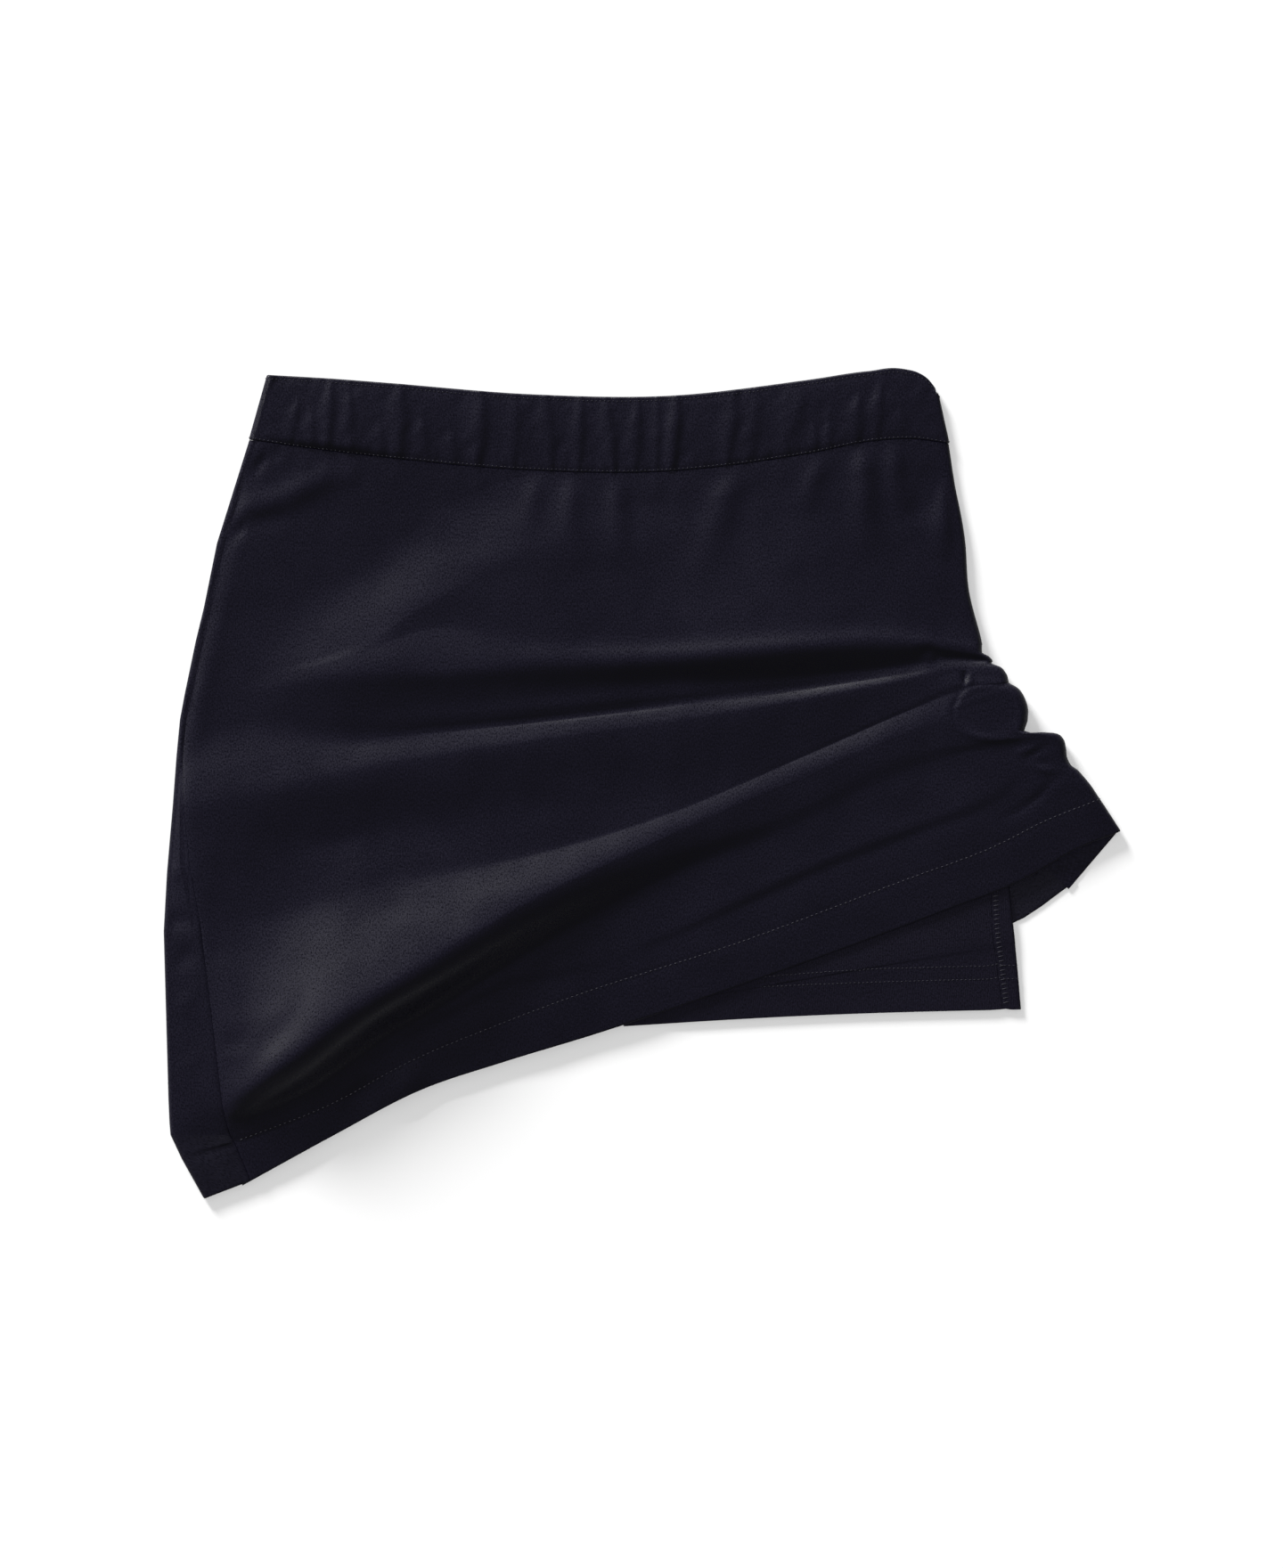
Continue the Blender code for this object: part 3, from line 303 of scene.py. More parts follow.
def down_lines(values, v):
    """Values given one per line of the skirt, carried straight to the places v between lines."""
    values = np.asarray(values, float)
    k = np.clip(np.asarray(v, int), 0, len(values) - 2)
    f = (v - k).reshape((-1,) + (1,) * (values.ndim - 1))
    return values[k] * (1 - f) + values[k + 1] * f


def undulation(x, y, wavelength, seed, count=14):
    """Smooth uneven swell of about -1 to 1: a sum of plane waves of like length, seeded."""
    rng = np.random.default_rng(seed)
    total = np.zeros(np.broadcast(x, y).shape)
    for _ in range(count):
        angle = rng.uniform(0, np.pi)
        length = wavelength * rng.uniform(0.7, 1.5)
        phase = rng.uniform(0, 2 * np.pi)
        total += np.sin(2 * np.pi * (x * np.cos(angle) + y * np.sin(angle)) / length + phase)
    return total / np.sqrt(count)


def ridge_field(x, y, path, widths, kind):
    """A rounded ridge of height 1 along a path: a bell across it, a sine or a fade along it.

    A step is high on the left of its path and low on the right, and returns slowly to nothing.
    """
    p = np.asarray(path, float)
    run = np.r_[0, np.cumsum(np.hypot(*np.diff(p, axis=0).T))]
    best = np.full(x.shape, 1e9)
    along = np.zeros(x.shape)
    left = np.zeros(x.shape, bool)
    for i in range(len(p) - 1):
        step = p[i + 1] - p[i]
        length = np.hypot(*step)
        t = np.clip(((x - p[i, 0]) * step[0] + (y - p[i, 1]) * step[1]) / length**2, 0, 1)
        away = np.hypot(x - p[i, 0] - t * step[0], y - p[i, 1] - t * step[1])
        turn = step[0] * (y - p[i, 1]) - step[1] * (x - p[i, 0])
        left = np.where(away < best, turn > 0, left)
        along = np.where(away < best, (run[i] + t * length) / run[-1], along)
        best = np.minimum(away, best)
    width = widths[0] * (1 - along) + widths[1] * along
    fade = np.cos(0.5 * np.pi * along)**1.2 if kind == FROM_WAIST else np.sin(np.pi * along)**0.8
    if kind == STEP:
        signed = np.where(left, best, -best) / width
        return fade * 2 * signed / (1 + signed**2)
    return np.exp(-(best / width)**2) * fade


def soften(z, plan, passes, keep):
    """Move each height half way to the line through the rows beside it, kept off where keep is 1."""
    step = np.linalg.norm(np.diff(plan, axis=0), axis=2) + 1e-6
    share = step[:-1] / (step[:-1] + step[1:])
    for _ in range(passes):
        mixed = z.copy()
        mixed[1:-1] = 0.5 * z[1:-1] + 0.5 * (z[:-2] * (1 - share) + z[2:] * share)
        z = z * keep + mixed * (1 - keep)
    return z


def half_turn(edge, outward, radius, z_from, z_to, count):
    """Half circle that turns a layer over at an outer edge, from z_from to z_to, ends left out."""
    angle = np.linspace(0, np.pi, count + 2)[1:-1]
    plan = (edge[:, None, :] - outward[:, None, :] * radius[:, None, None]
            * (1 - np.sin(angle))[None, :, None])
    z = (0.5 * (z_from + z_to)[:, None]
         + 0.5 * (z_from - z_to)[:, None] * np.cos(angle)[None, :])
    return np.dstack([plan, z])


def between(start, end, count):
    """Straight rows of points from start to end, ends left out."""
    f = np.linspace(0, 1, count + 2)[1:-1][None, :, None]
    return start[:, None, :] * (1 - f) + end[:, None, :] * f


def unit(vectors):
    """Vectors divided by their lengths."""
    return vectors / np.linalg.norm(vectors, axis=-1, keepdims=True)


def at_height(plan, z):
    """Plan points (x, y) with a height: one for all or one each."""
    return np.column_stack([plan, np.broadcast_to(z, len(plan))])


def normals_of(grid, closed):
    """Unit normals of a grid: the cross product of its steps down and across, upward on row 0."""
    if closed:
        across = np.roll(grid, -1, axis=1) - np.roll(grid, 1, axis=1)
    else:
        across = np.gradient(grid, axis=1)
    normal = np.cross(across, np.gradient(grid, axis=0))
    normal = unit(normal)
    middle = normal[len(grid) // 3, grid.shape[1] // 12, 2]
    return normal if middle > 0 else -normal


def lengths_along(grid, axis):
    """Distance travelled over the surface along one axis of a grid."""
    step = np.linalg.norm(np.diff(grid, axis=axis), axis=2)
    pad = [(0, 0), (0, 0)]
    pad[axis] = (1, 0)
    return np.cumsum(np.pad(step, pad), axis=axis)


def plan_uv(grid, sign, flat):
    """Cloth coordinates in mm: y, and x carried on by the distance travelled beyond a fold.

    The first columns, as many as flat, count their steps in plan alone.
    """
    step = np.diff(grid, axis=1)
    rise = np.where(np.arange(step.shape[1]) < flat, 0.0, step[..., 2])
    run = np.cumsum(np.pad(np.hypot(step[..., 0], rise), ((0, 0), (1, 0))), axis=1)
    return np.dstack([sign * grid[:, :1, 0] + run, grid[..., 1]])


def step_back(grid, column, towards, distance):
    """Move a column of points a short way towards its neighbour."""
    grid[:, column] += unit(grid[:, towards] - grid[:, column]) * distance


def band_edge_at(x):
    """y of the waistband's lower edge at x."""
    band = np.array(BAND_LOWER)
    edge = spline(band[:, 0], band[:, 1:], np.linspace(0, 1, 400))
    return np.interp(x, edge[:, 0], edge[:, 1])


# ---------------------------------------------------------------- surfaces of the skirt

def stations_at(u):
    """The skirt's lines at the shares u of the width, each a smooth curve through ten stations."""
    return np.array([spline(STATIONS, np.array(row[STATION]), u) for row in FRONT_LINES])


def at_rows(column, v):
    """A column of FRONT_LINES carried straight to the places v between lines."""
    return down_lines([row[column] for row in FRONT_LINES], v)


def right_roll(u):
    """Share of the right fold's own outline at u: 0 on the panel, 1 at the fold, smooth between."""
    return smooth_step((u - ROLL_FROM) / ROLL_SHARE)[None, :, None]


def heights_between_lines(lines, u, v):
    """Height: cubic spans from line to line, whose end slopes are steepness times rise.

    The steepness for the left holds up to u = 0.2 and the one for the right from 0.7.
    """
    above = np.array([row[STEEP_ABOVE] for row in FRONT_LINES], float)
    below = np.array([row[STEEP_BELOW] for row in FRONT_LINES], float)
    k = np.clip(v.astype(int), 0, len(FRONT_LINES) - 2)
    f = (v - k)[:, None]
    z0, z1 = lines[k, :, 2], lines[k + 1, :, 2]
    to_right = np.clip((u - 0.2) / 0.5, 0, 1)[None, :]
    leave = (below[k, :1] * (1 - to_right) + below[k, 1:] * to_right) * (z1 - z0)
    arrive = (above[k + 1, :1] * (1 - to_right) + above[k + 1, 1:] * to_right) * (z1 - z0)
    return ((2 * f**3 - 3 * f**2 + 1) * z0 + (f**3 - 2 * f**2 + f) * leave
            + (3 * f**2 - 2 * f**3) * z1 + (f**3 - f**2) * arrive)


def fold_outline(v):
    """Outline of the right fold at the places v: a smooth curve through FOLD_END."""
    at = [LINE[name] + share for name, share, _, _ in FOLD_END]
    return spline(at, np.array([row[2:] for row in FOLD_END]), v)


def flat_lobe(x, y, z):
    """Blend the heights towards the slightly falling plane of the lobe inside its ellipse."""
    dx, dy = x - EAR_CENTRE[0], y - EAR_CENTRE[1]
    along = (dx * np.cos(EAR_TURN) + dy * np.sin(EAR_TURN)) / EAR_HALF[0]
    across = (dy * np.cos(EAR_TURN) - dx * np.sin(EAR_TURN)) / EAR_HALF[1]
    share = smooth_step((1.0 - np.hypot(along, across)) / 0.22)
    plane = EAR_HEIGHT + EAR_FALL[0] * dx + EAR_FALL[1] * dy
    return z * (1 - share) + plane * share


def front_surface(u, v):
    """Top surface of the front panel.

    Plan: straight between the lines of FRONT_LINES, then drawn out to the right fold's outline.
    Height: cubic spans between the lines, softened across them except in sharp dips, plus the
    lobe, ridges, swell, pucker at the waist and the hem's stitches, and a dip at the left seam.
    """
    lines = stations_at(u)
    plan = down_lines(lines[..., :2], v)
    z = heights_between_lines(lines, u, v)
    sharp = np.maximum(np.exp(-((v - LINE["dip_ab"]) / 0.15)**2),
                       np.exp(-((v - LINE["dip_bc"]) / 0.15)**2))
    keep = sharp[:, None] * smooth_step((u - 0.3) / 0.2)[None, :] * 0.7
    z = soften(z, plan, 5, keep)

    shift = fold_outline(v) - plan[:, -1]
    plan = plan + right_roll(u) * shift[:, None, :]
    x, y = plan[..., 0], plan[..., 1]
    before = z
    z = flat_lobe(x, y, z)
    # 0 on the side seams and 1 a few millimetres away from them
    edge_free = smooth_step(u / 0.015)[None, :] * smooth_step((1 - u) / 0.018)[None, :]
    calm = np.clip(np.abs(z - before) / 0.3, 0, 1) * smooth_step((x - 165) / 10)
    from_waist = np.linalg.norm(plan - plan[:1], axis=2)
    # gathers rise over the first 17 mm, because the waistband holds the cloth flat
    held = 0.06 + 0.94 * smooth_step(from_waist / 17)
    for _, path, widths, rise, kind in RIDGES:
        lift = rise * edge_free * ridge_field(x, y, path, widths, kind)
        z = z + (lift * held if kind == FROM_WAIST else lift)
    swell = 0.14 * undulation(x, y, 46, 3) + 0.05 * undulation(x, y, 17, 4)
    z = z + edge_free * (1 - calm) * swell

    z = z + 0.10 * edge_free * undulation(x, y * 0.25, 6.5, 5) * np.exp(-(from_waist / 5.0))
    from_stitch = (v[:, None] - LINE["stitch"]) * HEM_DEEP
    ripple = 0.16 * undulation(x * 0.9 + y * 0.5, y * 0.2, 6.0, 6) * np.exp(-(from_stitch / 5.0)**2)
    z = z + edge_free * (ripple - 0.16 * np.exp(-(from_stitch / 1.6)**2))
    seam = u[None, :] * PANEL_WIDE
    narrow = smooth_step(v / 0.8) * smooth_step((LINE["crest_b"] - v) / 2.0)
    z = z - 0.45 * np.exp(-(seam / 2.0)**2) - 1.3 * narrow[:, None] * np.exp(-(seam / 5.5)**2)
    # never lower than the legs allow: a smooth bend, like that of a hyperbola, at LOWEST_FRONT
    over = z - LOWEST_FRONT + 0.3
    bent = LOWEST_FRONT - 0.3 + 0.5 * (over + np.sqrt(over**2 + 0.2))
    return np.dstack([plan, np.where((edge_free > 0) & (seam > 9), bent, z)])


def skirt_tube(v, across, turn, under, flat, strip):
    """The whole skirt as closed rounds, one per v, starting at the left seam.

    Round: front from the left seam, right turn, strip under it to the right seam, back panel on
    the table, left turn, strip on top of the front side up to the left seam.
    Returns the points and the column of the right seam.
    """
    near = across // 4
    u = np.concatenate([[0.0, 0.0012], np.linspace(0.005, 0.87, across - near - 2, endpoint=False),
                        np.linspace(0.87, 1, near)])
    top = front_surface(u, v)
    left_fold = at_rows(LEFT_FOLD, v)
    seam_under = at_height(at_rows(SEAM_UNDER, v), TABLE_LAYER)
    low = np.full(len(v), TABLE_LAYER)

    fold = top[:, -1, :2].copy()
    outward = unit(fold - top[:, np.searchsorted(u, ROLL_FROM), :2])
    radius = 0.5 * (top[:, -1, 2] - low)
    top[..., :2] -= outward[:, None, :] * radius[:, None, None] * right_roll(u)
    right_turn = half_turn(fold, outward, radius, top[:, -1, 2], low, turn)
    inner = at_height(fold - outward * radius[:, None], TABLE_LAYER)
    under_strip = np.concatenate([inner[:, None, :], between(inner, seam_under, under)], axis=1)

    seam = top[:, 0, :]
    out_left = unit(left_fold - seam[:, :2])
    turned = np.minimum(seam[:, 2], LEFT_FOLD_TOP)
    width = np.linalg.norm(left_fold - seam[:, :2], axis=1)
    radius_left = np.minimum(0.5 * (turned - low), 0.7 * width)
    left_inner = at_height(left_fold - out_left * radius_left[:, None], TABLE_LAYER)
    left_upper = np.column_stack([left_inner[:, :2], turned])
    left_turn = half_turn(left_fold, out_left, radius_left, low, turned, turn)
    share = np.sin(0.5 * np.pi * np.linspace(0, 1, strip + 2))[None, :-1]
    strip_rows = left_upper[:, None, :] * (1 - share[..., None]) + seam[:, None, :] * share[..., None]
    hold = smooth_step(share / 0.2) * smooth_step((1 - share) / 0.15)
    x, y = strip_rows[..., 0], strip_rows[..., 1]
    for _, path, widths, rise, kind in STRIP_RIDGES:
        strip_rows[..., 2] += rise * hold * ridge_field(x, y, path, widths, kind)
    strip_rows[..., 2] += 0.12 * hold * undulation(x, y, 22, 8)
    # the strip's edge rolls down into the seam, most near y = -90, and its hem has a sunken line
    to_seam = np.linalg.norm(strip_rows[..., :2] - seam[:, None, :2], axis=2)
    rolled = 0.45 + 0.5 * np.exp(-((y + 90) / 14)**2)
    rolled = rolled * smooth_step((v - LINE["crest_a"]) / 1.5)[:, None]
    strip_rows[..., 2] -= rolled * np.exp(-(to_seam / 1.3)**2)
    strip_rows[..., 2] -= 0.35 * hold * np.exp(-((v[:, None] - LINE["stitch"]) * 16)**2)

    back = between(seam_under, left_inner, flat)
    hem = np.vstack([seam_under[-1, :2], BACK_HEM, left_inner[-1, :2]])
    run = np.r_[0, np.cumsum(np.hypot(*np.diff(hem, axis=0).T))]
    share = np.linspace(0, 1, flat + 2)[1:-1]
    bow = spline(run / run[-1], hem, share) - (hem[0] + (hem[-1] - hem[0]) * share[:, None])
    bows, waist_bows = (down_lines([table.get(name, 0.0) for name in LINE], v)[:, None]
                        for table in (BOW, WAIST_BOW))
    back[..., :2] += bows[..., None] * bow[None]
    sag = band_edge_at(back[0, :, 0]) - WAIST_SET_IN / 2 - back[0, :, 1]
    back[..., 1] += waist_bows * sag[None]

    parts = [top, right_turn, under_strip, seam_under[:, None, :], back,
             left_inner[:, None, :], left_turn, strip_rows]
    right_seam = top.shape[1] + right_turn.shape[1] + under_strip.shape[1]
    return np.concatenate(parts, axis=1), right_seam


def skirt_rows(spacing, rim):
    """Places v down the skirt: even steps of about one spacing, with rim rows close to the hem."""
    lines = stations_at(np.array([0.15, 0.5, 0.85]))
    reach = np.linalg.norm(np.diff(lines, axis=0), axis=2).max(axis=1)
    v = []
    for k, length in enumerate(reach):
        count = max(3, int(round(length / spacing)))
        v += list(k + np.arange(count) / count)
    last = len(FRONT_LINES) - 1
    v = [place for place in v if place < last - 0.07]
    return np.array(v[:1] + [0.012] + v[1:] + [last - drop for drop in rim])


# ---------------------------------------------------------------- mesh makers

def add_mesh(name, vertices, faces, uv, material, sharp_from=None):
    """A finished piece at the origin: vertices and uv in mm, smooth up to the angle sharp_from."""
    mesh = bpy.data.meshes.new(name)
    mesh.from_pydata(((vertices + np.array(MOVED)) * MM).tolist(), [], faces.tolist())
    layer = mesh.uv_layers.new(name="cloth")
    loops = np.empty(len(mesh.loops), np.int32)
    mesh.loops.foreach_get("vertex_index", loops)
    layer.data.foreach_set("uv", (uv[loops] * 0.1).astype(np.float32).ravel())
    mesh.polygons.foreach_set("use_smooth", np.full(len(mesh.polygons), True))
    mesh.update()
    if sharp_from:
        mesh.set_sharp_from_angle(angle=sharp_from)
    mesh.materials.append(material)
    piece = bpy.data.objects.new(name, mesh)
    bpy.context.scene.collection.objects.link(piece)
    return piece


def facing_out(vertices, faces):
    """The faces, turned over if the closed mesh that they make has a negative volume."""
    a, b, c = (vertices[faces[:, i]] for i in range(3))
    d = vertices[faces[:, -1]]
    volume = np.einsum("ij,ij->i", a, np.cross(b, c)) + np.einsum("ij,ij->i", a, np.cross(c, d))
    return faces[:, ::-1] if volume.sum() < 0 else faces


def cloth_wall(name, middle, normal, half, material, closed=False, uv=None):
    """Closed piece of cloth: the middle surface moved out by half on each side, rims joined.

    half is one number, one for each row or one for each point.
    """
    rows, columns = middle.shape[:2]
    half = np.asarray(half, float)
    half = half[..., None] if half.ndim == 2 else np.broadcast_to(half.reshape(-1, 1, 1), (rows, 1, 1))
    vertices = np.concatenate([(middle + normal * half).reshape(-1, 3),
                               (middle - normal * half).reshape(-1, 3)])
    if uv is None:
        uv = np.dstack([lengths_along(middle, 1), lengths_along(middle, 0)])
    uv = np.concatenate([uv.reshape(-1, 2), uv.reshape(-1, 2)])
    index = np.arange(rows * columns).reshape(rows, columns)
    start = index if closed else index[:, :-1]
    wrap = np.roll(index, -1, axis=1) if closed else index[:, 1:]
    below = rows * columns

    def quads(a, b, c, d):
        return np.stack([a.ravel(), b.ravel(), c.ravel(), d.ravel()], axis=1)

    upper = quads(start[:-1], start[1:], wrap[1:], wrap[:-1])
    parts = [upper, upper[:, ::-1] + below,
             quads(start[0], wrap[0], wrap[0] + below, start[0] + below),
             quads(wrap[-1], start[-1], start[-1] + below, wrap[-1] + below)]
    if not closed:
        parts += [quads(index[1:, 0], index[:-1, 0], index[:-1, 0] + below, index[1:, 0] + below),
                  quads(index[:-1, -1], index[1:, -1], index[1:, -1] + below, index[:-1, -1] + below)]
    faces = facing_out(vertices, np.concatenate(parts))
    return add_mesh(name, vertices, faces, uv, material, sharp_from=SHARP_FROM)


def even_walk(path, sides, pitch):
    """Points, side vectors and directions every pitch along a path."""
    run = np.r_[0, np.cumsum(np.linalg.norm(np.diff(path, axis=0), axis=1))]
    count = max(2, int(run[-1] / pitch))
    at = (np.arange(count) + 0.5) * run[-1] / count
    point = np.column_stack([np.interp(at, run, path[:, i]) for i in range(3)])
    side = unit(np.column_stack([np.interp(at, run, sides[:, i]) for i in range(3)]))
    ahead = np.column_stack([np.interp(at + 0.4, run, path[:, i]) for i in range(3)])
    back = np.column_stack([np.interp(at - 0.4, run, path[:, i]) for i in range(3)])
    return point, side, unit(ahead - back)


def stitch_mesh(name, rows, material, pitch=STITCH_PITCH, length=2.1, radius=THREAD, lift=0.12,
                slant=0.0):
    """Rows of sewn stitches, each a short bowed thread that dives into the cloth at both ends.

    rows is a list of (path, normals). A stitch is a tube of six rings of six points: its axis
    follows the path for one length, arched by a cosine and thinned at its ends, and it is pressed
    flat where it meets the table.
    """
    rng = np.random.default_rng(len(name) * 7 + 1)
    t = np.linspace(-1, 1, 6)
    arch = np.cos(t * np.pi / 2)
    thick = np.array([0.35, 0.85, 1.0, 1.0, 0.85, 0.35])
    turn = np.arange(6) * np.pi / 3
    all_vertices, all_faces, all_uv = [], [], []
    base = 0
    ring = np.arange(6)
    quad = np.concatenate([np.stack([k * 6 + ring, k * 6 + (ring + 1) % 6,
                                     (k + 1) * 6 + (ring + 1) % 6, (k + 1) * 6 + ring], axis=1)
                           for k in range(5)])
    cap = np.array([[5, 4, 3, 2], [5, 2, 1, 0], [30, 31, 32, 33], [30, 33, 34, 35]])
    one = np.concatenate([quad[:, ::-1], cap[:, ::-1]])
    for path, normals in rows:
        point, up, ahead = even_walk(path, normals, pitch)
        count = len(point)
        side = unit(np.cross(ahead, up))
        tilt = slant + rng.normal(0, 0.04, count)
        ahead = unit(ahead + side * tilt[:, None])
        side = unit(np.cross(ahead, up))
        jitter = rng.normal(0, 0.05, (count, 1))
        axis = (point[:, None] + ahead[:, None] * (t * length / 2)[None, :, None]
                + side[:, None] * jitter[:, None]
                + up[:, None] * (lift - 0.34 + 0.34 * arch)[None, :, None])
        around = (side[:, None, None] * np.cos(turn)[None, None, :, None]
                  + up[:, None, None] * np.sin(turn)[None, None, :, None])
        vertices = axis[:, :, None] + around * (radius * thick)[None, :, None, None]
        all_vertices.append(vertices.reshape(-1, 3))
        all_faces.append((one[None] + base + (np.arange(count) * 36)[:, None, None]).reshape(-1, 4))
        along = np.broadcast_to(t[None, :, None] * length / 2, (count, 6, 6))
        angle = np.broadcast_to(turn[None, None, :] * radius, (count, 6, 6))
        all_uv.append(np.stack([along, angle], axis=-1).reshape(-1, 2))
        base += count * 36
    vertices = np.concatenate(all_vertices)
    vertices[:, 2] = np.maximum(vertices[:, 2], 0.0)
    faces = facing_out(vertices, np.concatenate(all_faces))
    return add_mesh(name, vertices, faces, np.concatenate(all_uv), material)


# ---------------------------------------------------------------- materials

def new_group(name, inputs, outputs):
    """Shader node group with named sockets: {name: (type, default)}."""
    group = bpy.data.node_groups.new(name, "ShaderNodeTree")
    for label, (kind, value) in inputs.items():
        socket = group.interface.new_socket(name=label, in_out="INPUT", socket_type=kind)
        if value is not None:
            socket.default_value = value
    for label, kind in outputs.items():
        group.interface.new_socket(name=label, in_out="OUTPUT", socket_type=kind)
    return group, group.nodes.new("NodeGroupInput"), group.nodes.new("NodeGroupOutput")


def node(tree, kind, links=None, **settings):
    """A node with its settings. A socket in links is joined to its input, and a value is set."""
    made = tree.nodes.new(kind)
    for key, value in settings.items():
        setattr(made, key, value)
    for key, value in (links or {}).items():
        if isinstance(value, bpy.types.NodeSocket):
            tree.links.new(value, made.inputs[key])
        else:
            made.inputs[key].default_value = value
    return made


def maths(tree, operation, a, b=0.0):
    """Output of a Math node on two values or sockets."""
    return node(tree, "ShaderNodeMath", {0: a, 1: b}, operation=operation).outputs[0]


def noise(tree, vector, scale, detail, **more):
    """Output of a Noise Texture node."""
    links = {"Vector": vector, "Scale": scale, "Detail": detail, **more}
    return node(tree, "ShaderNodeTexNoise", links).outputs[0]


def cloth_weave_group():
    """Twill lines and uneven yarns from cloth coordinates in cm: height 0 to 1, tone about 1."""
    group, inside, outside = new_group(
        "cloth weave",
        {"Cloth": ("NodeSocketVector", None), "Lines per cm": ("NodeSocketFloat", 16.0),
         "Slant": ("NodeSocketFloat", 1.0), "Unevenness": ("NodeSocketFloat", 0.5)},
        {"Height": "NodeSocketFloat", "Tone": "NodeSocketFloat"})
    cloth = inside.outputs["Cloth"]
    split = node(group, "ShaderNodeSeparateXYZ", {0: cloth})
    slanted = maths(group, "MULTIPLY", split.outputs[1], inside.outputs["Slant"])
    run = maths(group, "ADD", split.outputs[0], slanted)
    count = maths(group, "MULTIPLY", run, inside.outputs["Lines per cm"])
    turns = maths(group, "MULTIPLY", count, 6.2832)
    wobble = noise(group, cloth, 9.0, 3.0)
    turns = maths(group, "ADD", turns, maths(group, "MULTIPLY", wobble, 5.0))
    line = maths(group, "ADD", maths(group, "MULTIPLY", maths(group, "SINE", turns), 0.5), 0.5)
    stretched = node(group, "ShaderNodeVectorMath", {0: cloth, 1: (16.0, 7.0, 1.0)},
                     operation="MULTIPLY")
    yarn = noise(group, stretched.outputs[0], 1.0, 4.0, Roughness=0.65)
    fine = noise(group, cloth, 11.0, 3.0)
    grain = maths(group, "ADD", maths(group, "MULTIPLY", yarn, 0.6),
                  maths(group, "MULTIPLY", fine, 0.4))
    height = node(group, "ShaderNodeMix", {0: inside.outputs["Unevenness"], 2: line, 3: grain})
    group.links.new(height.outputs[0], outside.inputs["Height"])
    tone = maths(group, "ADD", maths(group, "MULTIPLY", grain, 4.4), -1.2)
    group.links.new(tone, outside.inputs["Tone"])
    return group


def cloth_wear_group():
    """Slow cloudiness of worn, pressed cloth over decimetres and centimetres, about 1."""
    group, inside, outside = new_group(
        "cloth cloudiness",
        {"Place": ("NodeSocketVector", None), "Amount": ("NodeSocketFloat", 0.2)},
        {"Tone": "NodeSocketFloat"})
    wide = noise(group, inside.outputs["Place"], 9.0, 3.0)
    close = noise(group, inside.outputs["Place"], 70.0, 4.0)
    both = maths(group, "ADD", maths(group, "MULTIPLY", wide, 0.6),
                 maths(group, "MULTIPLY", close, 0.4))
    swing = maths(group, "MULTIPLY", maths(group, "SUBTRACT", both, 0.5), inside.outputs["Amount"])
    group.links.new(maths(group, "ADD", swing, 1.0), outside.inputs["Tone"])
    return group


def cloth_material(name, weave, wear, colour, lines_per_cm, slant, unevenness, depth, roughness,
                   specular):
    """Dark cloth: weave for bump, and weave and cloudiness together for colour and roughness.

    The cloth is so dark that its shine carries the grain, so the roughness swings with the tone.
    """
    material = bpy.data.materials.new(name)
    material.use_nodes = True
    tree = material.node_tree
    shader = tree.nodes["Principled BSDF"]
    coords = node(tree, "ShaderNodeUVMap", uv_map="cloth")
    place = node(tree, "ShaderNodeTexCoord")
    threads = node(tree, "ShaderNodeGroup", node_tree=weave)
    tree.links.new(coords.outputs[0], threads.inputs["Cloth"])
    threads.inputs["Lines per cm"].default_value = lines_per_cm
    threads.inputs["Slant"].default_value = slant
    threads.inputs["Unevenness"].default_value = unevenness
    cloud = node(tree, "ShaderNodeGroup", node_tree=wear)
    tree.links.new(place.outputs["Object"], cloud.inputs["Place"])
    cloud.inputs["Amount"].default_value = 0.6
    tone = maths(tree, "MULTIPLY", threads.outputs["Tone"], cloud.outputs["Tone"])
    tinted = node(tree, "ShaderNodeVectorMath", {0: (*colour,), "Scale": tone}, operation="SCALE")
    tree.links.new(tinted.outputs[0], shader.inputs["Base Color"])
    swing = 0.42
    rough = maths(tree, "ADD", maths(tree, "MULTIPLY", tone, swing), roughness - swing)
    tree.links.new(rough, shader.inputs["Roughness"])
    bump = node(tree, "ShaderNodeBump", {"Height": threads.outputs["Height"], "Strength": 1.0,
                                         "Distance": depth * MM})
    tree.links.new(bump.outputs[0], shader.inputs["Normal"])
    shader.inputs["Specular IOR Level"].default_value = specular
    return material


def thread_material(name, colour, roughness):
    """Twisted sewing thread: slanted ply lines across the tube from its own uv."""
    material = bpy.data.materials.new(name)
    material.use_nodes = True
    tree = material.node_tree
    shader = tree.nodes["Principled BSDF"]
    coords = node(tree, "ShaderNodeUVMap", uv_map="cloth")
    split = node(tree, "ShaderNodeSeparateXYZ", {0: coords.outputs[0]})
    run = maths(tree, "ADD", maths(tree, "MULTIPLY", split.outputs[0], 120.0),
                maths(tree, "MULTIPLY", split.outputs[1], 90.0))
    ply = maths(tree, "ADD", maths(tree, "MULTIPLY", maths(tree, "SINE", run), 0.5), 0.5)
    tone = maths(tree, "ADD", maths(tree, "MULTIPLY", ply, 0.4), 0.8)
    tinted = node(tree, "ShaderNodeVectorMath", {0: (*colour,), "Scale": tone}, operation="SCALE")
    tree.links.new(tinted.outputs[0], shader.inputs["Base Color"])
    bump = node(tree, "ShaderNodeBump", {"Height": ply, "Strength": 0.6, "Distance": 0.05 * MM})
    tree.links.new(bump.outputs[0], shader.inputs["Normal"])
    shader.inputs["Roughness"].default_value = roughness
    shader.inputs["Specular IOR Level"].default_value = 0.2
    return material


# ---------------------------------------------------------------- pieces

def finish_piece(piece, nodes):
    """Ride the one body and stand for the CAD nodes, which are hidden."""
    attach(piece, "root")
    if nodes:
        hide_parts(*nodes)


